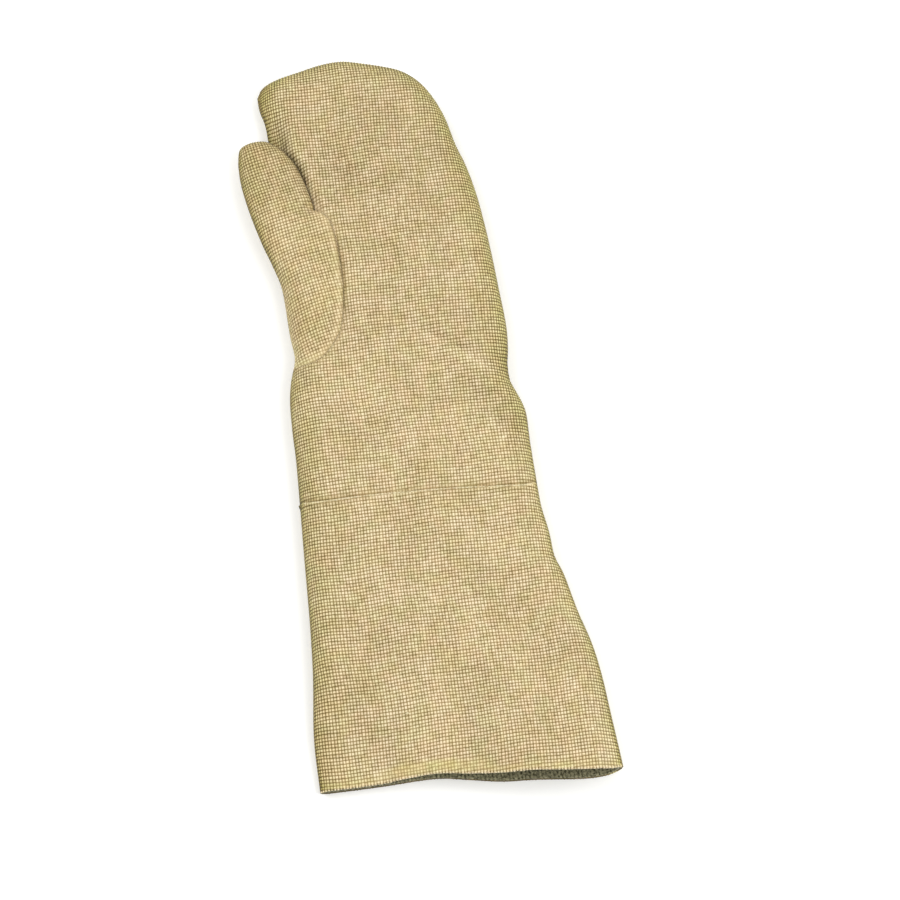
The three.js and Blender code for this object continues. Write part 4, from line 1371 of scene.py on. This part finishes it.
@dataclass
class Thumb:
    """The thumb: a folded tube, sewn round the palm's opening and down the side seam."""

    form: Form
    cloth: bpy.types.Material
    weave: Weave = Weave(turn=9.0, seed=11)
    under_relief: float = 0.2  # millimetres that the threads stand out on its underside
    leaves_side: float = 0.4  # its underside starts where its outer side is this far off the seam
    crotch_rise: tuple[float, float] = (0.6, 2.0)  # how far off the palm the crotch's ends are
    coarse: int = 5

    def build(self) -> None:
        """Builds the tube."""
        form = self.form
        foot, side, crotch = opening_seam(-1)
        outer = stretch("thumb_outer_side")
        outer[0] = foot[0]
        tip, crevice = stretch("thumb_tip"), stretch("crevice")
        round_corner(outer, tip)
        crevice[0] = side[-1]
        top = joined(foot, side, crevice, tip[::-1], outer[::-1])
        under = stretch("under_thumb")
        under = under[under[:, 0] - form.thumb_outer_x(under[:, 1]) > self.leaves_side]
        leave = int(np.searchsorted(outer[:, 1], under[0, 1])) - 2
        under = np.vstack([outer[leave], under])
        under[-1] = crotch[-1]
        crotch[0] = side[-1]
        below = joined(under, crotch[::-1], crevice, tip[::-1], outer[leave:][::-1])
        top_edge = form.thumb(*top.T)
        seam_points = len(foot) + len(side) - 2
        z_top = np.where(np.arange(len(top)) <= seam_points, top_edge[1], top_edge[0])
        z_below = form.thumb(*below.T)[0]
        count = len(under) - 1
        z_below[1:count] = form.thumb_hem(*below[1:count].T)
        across = np.arange(len(crotch)) / (len(crotch) - 1)
        margin = form.palm(*crotch.T) + mix(*self.crotch_rise, across)
        margin[0] = z_top[seam_points]
        z_below[count:count + len(crotch)] = margin[::-1]
        walls = []
        # The coarse inner faces keep the hand's layout, which their wide mesh follows better
        for step, rolls in ((1, ("thumb", "thumb")), (self.coarse, ("upper", "lower"))):
            upper = Cloth(form, form.thumb_top, form.thumb_marks, rolls[0], self.weave)
            lower = Cloth(form, form.thumb_under, form.thumb_marks, rolls[1], self.weave,
                          down=True, relief=self.under_relief)
            walls.append([upper.surface(top, step, z_top), lower.surface(below, step, z_below)])
        wall = cloth_wall(*walls, CLOTH, lambda points: np.zeros(len(points), bool))
        piece = make_mesh("thumb_cloth", wall[0], wall[2], self.cloth, wall[1])
        place(piece, Seat.THUMB, "thumb_cloth", replaces=True)


@dataclass
class Cuff:
    """The flared cuff: one cloth round the forearm, with a felt lining in it."""

    form: Form
    cloth: bpy.types.Material
    felt: bpy.types.Material
    coarse: int = 5
    rib: float = 3.0  # millimetres between the felt's ribs, which run in from the mouth
    rib_height: float = 0.5
    rib_wander: float = 0.12  # the share of a rib that they stray to the side
    ribs_rise: tuple[float, float] = (0.2, 3.0)  # how far in they start and are at full height
    set_back: float = 0.3  # the felt ends this far inside the mouth
    rings: tuple[int, int] = (24, 12)  # rings of points along the felt's inner and outer face
    shown: float = 36.0  # the inner face is finer this far in, where it is seen
    shown_step: float = 1.5
    columns: int = 300  # steps across the felt
    evenness: float = 0.6  # 1 spaces them evenly, 0 crowds them at the sides
    bow_reach: float = 0.45  # the share of its length that follows the bow of its end
    corner_out: tuple[float, ...] = (1.1, 0.7, 0.3)  # its corner stands out beside the hand's

    def build(self) -> None:
        """Builds the cloth and the lining."""
        form = self.form
        mouth, wrist = stretch("mouth"), stretch("wrist", back=True) - (0, SEWN / 2)
        outer, inner = stretch("cuff_outer_side"), stretch("cuff_thumb_side", back=True)
        outer[-1] = wrist[0]
        inner[:len(self.corner_out), 0] -= self.corner_out
        wrist[-1] = inner[0]
        loop = joined(mouth, outer, wrist, inner)
        walls = [[], []]
        for height, rolls, sign in ((form.upper, "upper", 1), (form.lower, "lower", -1)):
            cloth = Cloth(form, form.seamed(height, sign), form.cuff_marks, rolls, down=sign < 0)
            for wall, step in zip(walls, (1, self.coarse)):
                wall.append(cloth.surface(loop, step))
        wall = cloth_wall(*walls, CLOTH, lambda points: np.zeros(len(points), bool))
        piece = make_mesh("cuff_cloth", wall[0], wall[2], self.cloth, wall[1])
        place(piece, Seat.CUFF, "cuff_cloth", replaces=True)
        self.lining()

    def lining(self) -> None:
        """Builds the felt: ribbed inside, near the mouth in fine steps."""
        form = self.form
        length = WRIST_THUMB[1] - MOUTH_THUMB[1]
        fine, coarse = (np.linspace(self.set_back, length - self.set_back, n) for n in self.rings)
        fine = np.concatenate([np.arange(0, self.shown, self.shown_step) + self.set_back,
                               fine[fine > self.shown]])
        left, right, mouth, wrist = (curve(name, 400) for name in (
            "cuff_thumb_side", "cuff_outer_side", "mouth", "wrist"))
        even = np.linspace(0, 1, self.columns + 1)
        shares = (1 - np.cos(np.linspace(0, math.pi, self.columns + 1))) / 2
        shares = mix(shares, even, self.evenness)

        def ring(run: float, inset: float) -> Array:
            """A closed ring of points round the sleeve."""
            t = run / length
            a, b = (resample_at(side, t) for side in (left, right))
            edge = inset / math.dist(a, b)
            s = mix(edge, 1 - edge, shares)
            row = mix(a, b, s[:, None])
            for end, near in ((mouth, t), (wrist, 1 - t)):
                line = np.column_stack([np.interp(s, np.linspace(0, 1, len(end)), end[:, k])
                                        for k in (0, 1)])
                bow = line - mix(end[0], end[-1], s[:, None])
                row = row + bow * max(0, 1 - near / self.bow_reach) ** 2
            upper = np.column_stack([row, form.upper(*row.T, inset=inset)])
            lower = np.column_stack([row, form.lower(*row.T, inset=inset)])
            return np.vstack([lower, upper[-2:0:-1]])

        outside = CLOTH + GAP
        depth = np.concatenate([coarse, fine[::-1]])
        inside = np.arange(len(depth)) >= len(coarse)
        rings = [ring(*at) for at in zip(depth, np.where(inside, outside + FELT, outside))]
        around = len(rings[0])
        points = np.vstack(rings)
        number = np.arange(len(points)).reshape(len(rings), around)
        following = np.roll(number, -1, axis=1)
        after = np.roll(number, -1, axis=0)
        faces = np.stack([number, after, np.roll(after, -1, axis=1), following],
                         axis=-1).reshape(-1, 4)
        depth, inside = depth.repeat(around), inside.repeat(around)
        mouth_ring = rings[-1]
        laid = np.linalg.norm(np.diff(mouth_ring, axis=0), axis=1)
        along = np.tile(np.concatenate([[0], np.cumsum(laid)]), len(rings)) / self.rib
        along += self.rib_wander * np.sin(depth / 9 + along / 3)
        wave = np.abs(np.cos(math.pi * along))
        normals = vertex_normals(points, faces.tolist())
        fade = np.where(inside, smoothstep(*self.ribs_rise, depth - self.set_back), 0)
        points += normals * (self.rib_height * wave * fade)[:, None]
        dress = np.column_stack([along, depth / self.rib, np.zeros((len(points), 3))])
        piece = make_mesh("cuff_lining_felt", points, faces.tolist(), self.felt, dress)
        place(piece, Seat.LINING, "felt", replaces=True)


def resample_at(line: Array, share: float) -> Array:
    """The point of a line at a share of its steps, on past its ends."""
    at = share * (len(line) - 1)
    k = int(np.clip(math.floor(at), 0, len(line) - 2))
    return mix(line[k], line[k + 1], at - k)


@dataclass
class Stitching:
    """The sewing threads of the seams, the crowns along the mouth's edge and a loose slub."""

    form: Form
    yarn: bpy.types.Material
    thread: bpy.types.Material
    felt: bpy.types.Material
    seed: int = 29
    step: float = 0.5  # millimetres between the points that stitches are counted off on
    thickness: float = 0.33  # half the thickness of a stitch
    wrist_pitch: float = 3.2
    wrist_margin: float = 4.0  # the wrist's stitches stop this far from its ends
    wrist_off: float = 0.85  # they lie off the seam, on the cuff above and on the hand below
    thumb_pitch: float = 1.5
    slub_at: tuple[float, float] = (-38.3, -231.8)
    slub_size: tuple[float, ...] = (1.25, 0.8, 0.55)  # half its length, width and height
    slub_up: float = 0.3

    def build(self) -> None:
        """Builds them all."""
        self.random = np.random.RandomState(self.seed)
        self.wrist()
        self.thumb_seam()
        self.mouth()
        x, y = np.array(self.slub_at)[:, None]
        self.make("slub", Seat.CUFF, "cuff_cloth", self.thread,
                  np.column_stack([x, y, self.form.upper(x, y) + self.slub_up]),
                  np.array([[1, 0.3, 0]]), np.array([self.slub_size]))

    def make(self, name: str, seat: Seat, slot: str, material: bpy.types.Material, places: Array,
             along: Array, sizes: Array, tone: Array | float = 0.0) -> None:
        """Makes one piece of many grains, laid out as grains() has them.

        Args:
            name: The piece's name.
            seat: The part it belongs to.
            slot: That part's material slot; not used.
            material: The grains' finish.
            places: Their middles.
            along: The direction that each is stretched in.
            sizes: Half their length, width and height.
            tone: How much lighter each is than the plain yarn.
        """
        points, faces = grains(places, along, sizes)
        between = 0.5 * (material is self.felt)  # a loop of felt lies between two ribs
        dress = np.column_stack([np.round(points[:, :2]) + between, np.zeros((len(points), 3))])
        dress[:, 4] = np.repeat(tone + np.zeros(len(places)), len(points) // len(places))
        place(make_mesh(name, points, faces, material, dress), seat, slot)

    def wrist(self) -> None:
        """Builds the running stitch along both sides of the wrist."""
        form, half = self.form, self.thickness
        for name, height, sign in (("upper", form.upper, 1), ("lower", form.lower, -1)):
            x = np.arange(WRIST_THUMB[0] + self.wrist_margin, WRIST_OUTER[0] - self.wrist_margin,
                          self.wrist_pitch)
            x += self.random.uniform(-0.25, 0.25, len(x))
            y = form.wrist_y(x) - sign * self.wrist_off
            course = np.column_stack([x, y, form.seamed(height, sign)(x, y) + (sign > 0) * 0.12])
            sizes = np.column_stack([self.random.uniform(0.8, 1.4, len(x)),
                                     np.full((len(x), 2), half)])
            self.make(f"wrist_stitches_{name}", Seat.CUFF, "cuff_cloth", self.thread, course,
                      np.gradient(course, axis=0), sizes)

    def thumb_seam(self) -> None:
        """Builds the stitches that draw the thumb's edge to the palm's."""
        line = np.vstack([stretch(name, self.step)
                          for name in ("thumb_seam_foot", "thumb_seam_side")])
        course = line[4::round(self.thumb_pitch / self.step)][:-1]
        towards = np.gradient(course, axis=0)
        across = np.column_stack([towards[:, 1], -towards[:, 0], np.zeros(len(course))])
        across[:, :2] += towards * self.random.uniform(0.2, 0.7, (len(course), 1))
        sizes = np.column_stack([self.random.uniform(0.9, 1.3, len(course)),
                                 self.random.uniform(0.5, 0.8, len(course)),
                                 np.full(len(course), self.thickness)])
        # The stitches are darkened by the painted shade along the seam
        self.make("thumb_seam_stitches", Seat.THUMB, "thumb_cloth", self.yarn,
                  np.column_stack([course, self.form.palm(*course.T) + 0.05]), across, sizes,
                  -0.25 - 0.75 * self.form.thumb_seam_shade(course[:, 1]))

    def mouth(self) -> None:
        """Builds the crowns of the warp threads that turn over the mouth's edge.

        The lower edge is bound by the felt's loops, which leave it dark.
        """
        form, weave, edge = self.form, Weave(), stretch("mouth", self.step)
        for name, height, sign, finish, size in (("upper", form.upper, 1, self.yarn, 1.0),
                                                 ("lower", form.lower, -1, self.felt, 0.7)):
            across = weave.threads(form.spread(edge, name))[:, 0]
            numbers = np.arange(math.ceil(across[0] + 1), math.floor(across[-1] - 1))
            x, y = (np.interp(numbers, across, axis) for axis in edge.T)
            course = np.column_stack([x, y + 0.35, height(x, y) - sign * 0.55])
            sizes = size * self.random.uniform(0.7, 1.15, (len(x), 1)) * (0.95, 1.0, 0.95)
            self.make(f"mouth_crowns_{name}", Seat.CUFF, "cuff_cloth", finish, course,
                      np.gradient(course, axis=0), sizes, self.random.uniform(0, 0.7, len(x)))


@dataclass(frozen=True)
class Studio:
    """A pale plain floor, soft light and the camera at the photograph's view."""

    elevation: float = 73.0
    lean: float = 7.0  # degrees that the mitten leans to the left in the picture
    aim: tuple[float, float, float] = (18.6, -27.6, 0.0)
    distance: float = 3000.0
    millimetres_per_pixel: float = 0.757
    pixels: int = 900
    sensor: float = 36.0
    walls: float = 0.79  # how bright the white walls are
    glow: float = 0.14  # how brightly the floor is lit from below
    floor_width: float = 8000.0
    lamps: tuple[tuple, ...] = (  # name, place, width and power, in metres and watts
        ("window_left", (-1.1, 0.7, 1.5), 1.2, 14),
        ("window_right", (1.2, -0.5, 1.7), 1.4, 22),
    )

    def build(self) -> None:
        """Builds the floor, the lights and the camera."""
        scene = bpy.context.scene
        scene.view_settings.view_transform = "Standard"
        world = bpy.data.worlds.new("studio_walls")
        world.use_nodes = True
        background = world.node_tree.nodes["Background"]
        background.inputs[0].default_value = (1, 1, 1, 1)
        background.inputs[1].default_value = self.walls
        scene.world = world
        # Opal acrylic sheet, cast and lit faintly from below: matt white, with weak soft shadows
        opal, tree = new_material("opal_acrylic_sheet")
        shader = add(tree, "BsdfPrincipled", {
            "Base Color": linear("f4f4f2"), "Roughness": 0.9, "Emission Color": linear("ffffff"),
            "Emission Strength": self.glow})
        add(tree, "OutputMaterial", {"Surface": shader})
        corners = np.array([[-1, -1, 0], [1, -1, 0], [1, 1, 0], [-1, 1, 0]])
        floor = make_mesh("floor", corners * self.floor_width / 2, [(0, 1, 2, 3)], opal)
        for lamp in self.lamps:
            self.light(*lamp)
        self.camera()

    def light(self, name: str, at: tuple[float, float, float], size: float, power: float) -> None:
        """Adds a soft lamp that faces the mitten."""
        lamp = bpy.data.lights.new(name, "AREA")
        lamp.size, lamp.energy = size, power
        holder = bpy.data.objects.new(name, lamp)
        holder.location = at
        holder.rotation_euler = (-Vector(at)).to_track_quat("-Z", "Y").to_euler()
        bpy.context.collection.objects.link(holder)

    def camera(self) -> None:
        """Adds the camera."""
        tilt, lean = math.radians(self.elevation), math.radians(self.lean)
        up_plan = Vector((math.sin(lean), math.cos(lean), 0))
        back = -up_plan * math.cos(tilt) + Vector((0, 0, math.sin(tilt)))
        up = up_plan * math.sin(tilt) + Vector((0, 0, math.cos(tilt)))
        data = bpy.data.cameras.new("camera")
        data.sensor_width = self.sensor
        data.lens = self.sensor * self.distance / (self.millimetres_per_pixel * self.pixels)
        data.clip_start, data.clip_end = 0.1, 20
        holder = bpy.data.objects.new("camera", data)
        turn = Matrix((up.cross(back), up, back)).transposed().to_4x4()
        holder.matrix_world = Matrix.Translation(
            (Vector(self.aim) + back * self.distance) * MM) @ turn
        bpy.context.collection.objects.link(holder)
        bpy.context.scene.camera = holder


def main() -> None:
    """Builds the mitten and its studio."""
    logging.basicConfig(level=logging.INFO, format="%(name)s %(message)s")
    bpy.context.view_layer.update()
    form = Form()
    log.info("form charted")
    yarn = WovenYarn("woven_straw_yarn").material()
    # The thumb gets a darker copy of the yarn: painted shade over the whole thumb
    shaded_thumb_yarn = WovenYarn("woven_straw_yarn_thumb_in_shade", crown="eadab3", side="bfab82").material()
    Hand(form, yarn).build()
    Thumb(form, shaded_thumb_yarn).build()
    felt = RibbedFelt().material()
    Cuff(form, yarn, felt).build()
    Stitching(form, yarn, SpunThread().material(), felt).build()
    Studio().build()


if __name__ == "__main__":
    main()
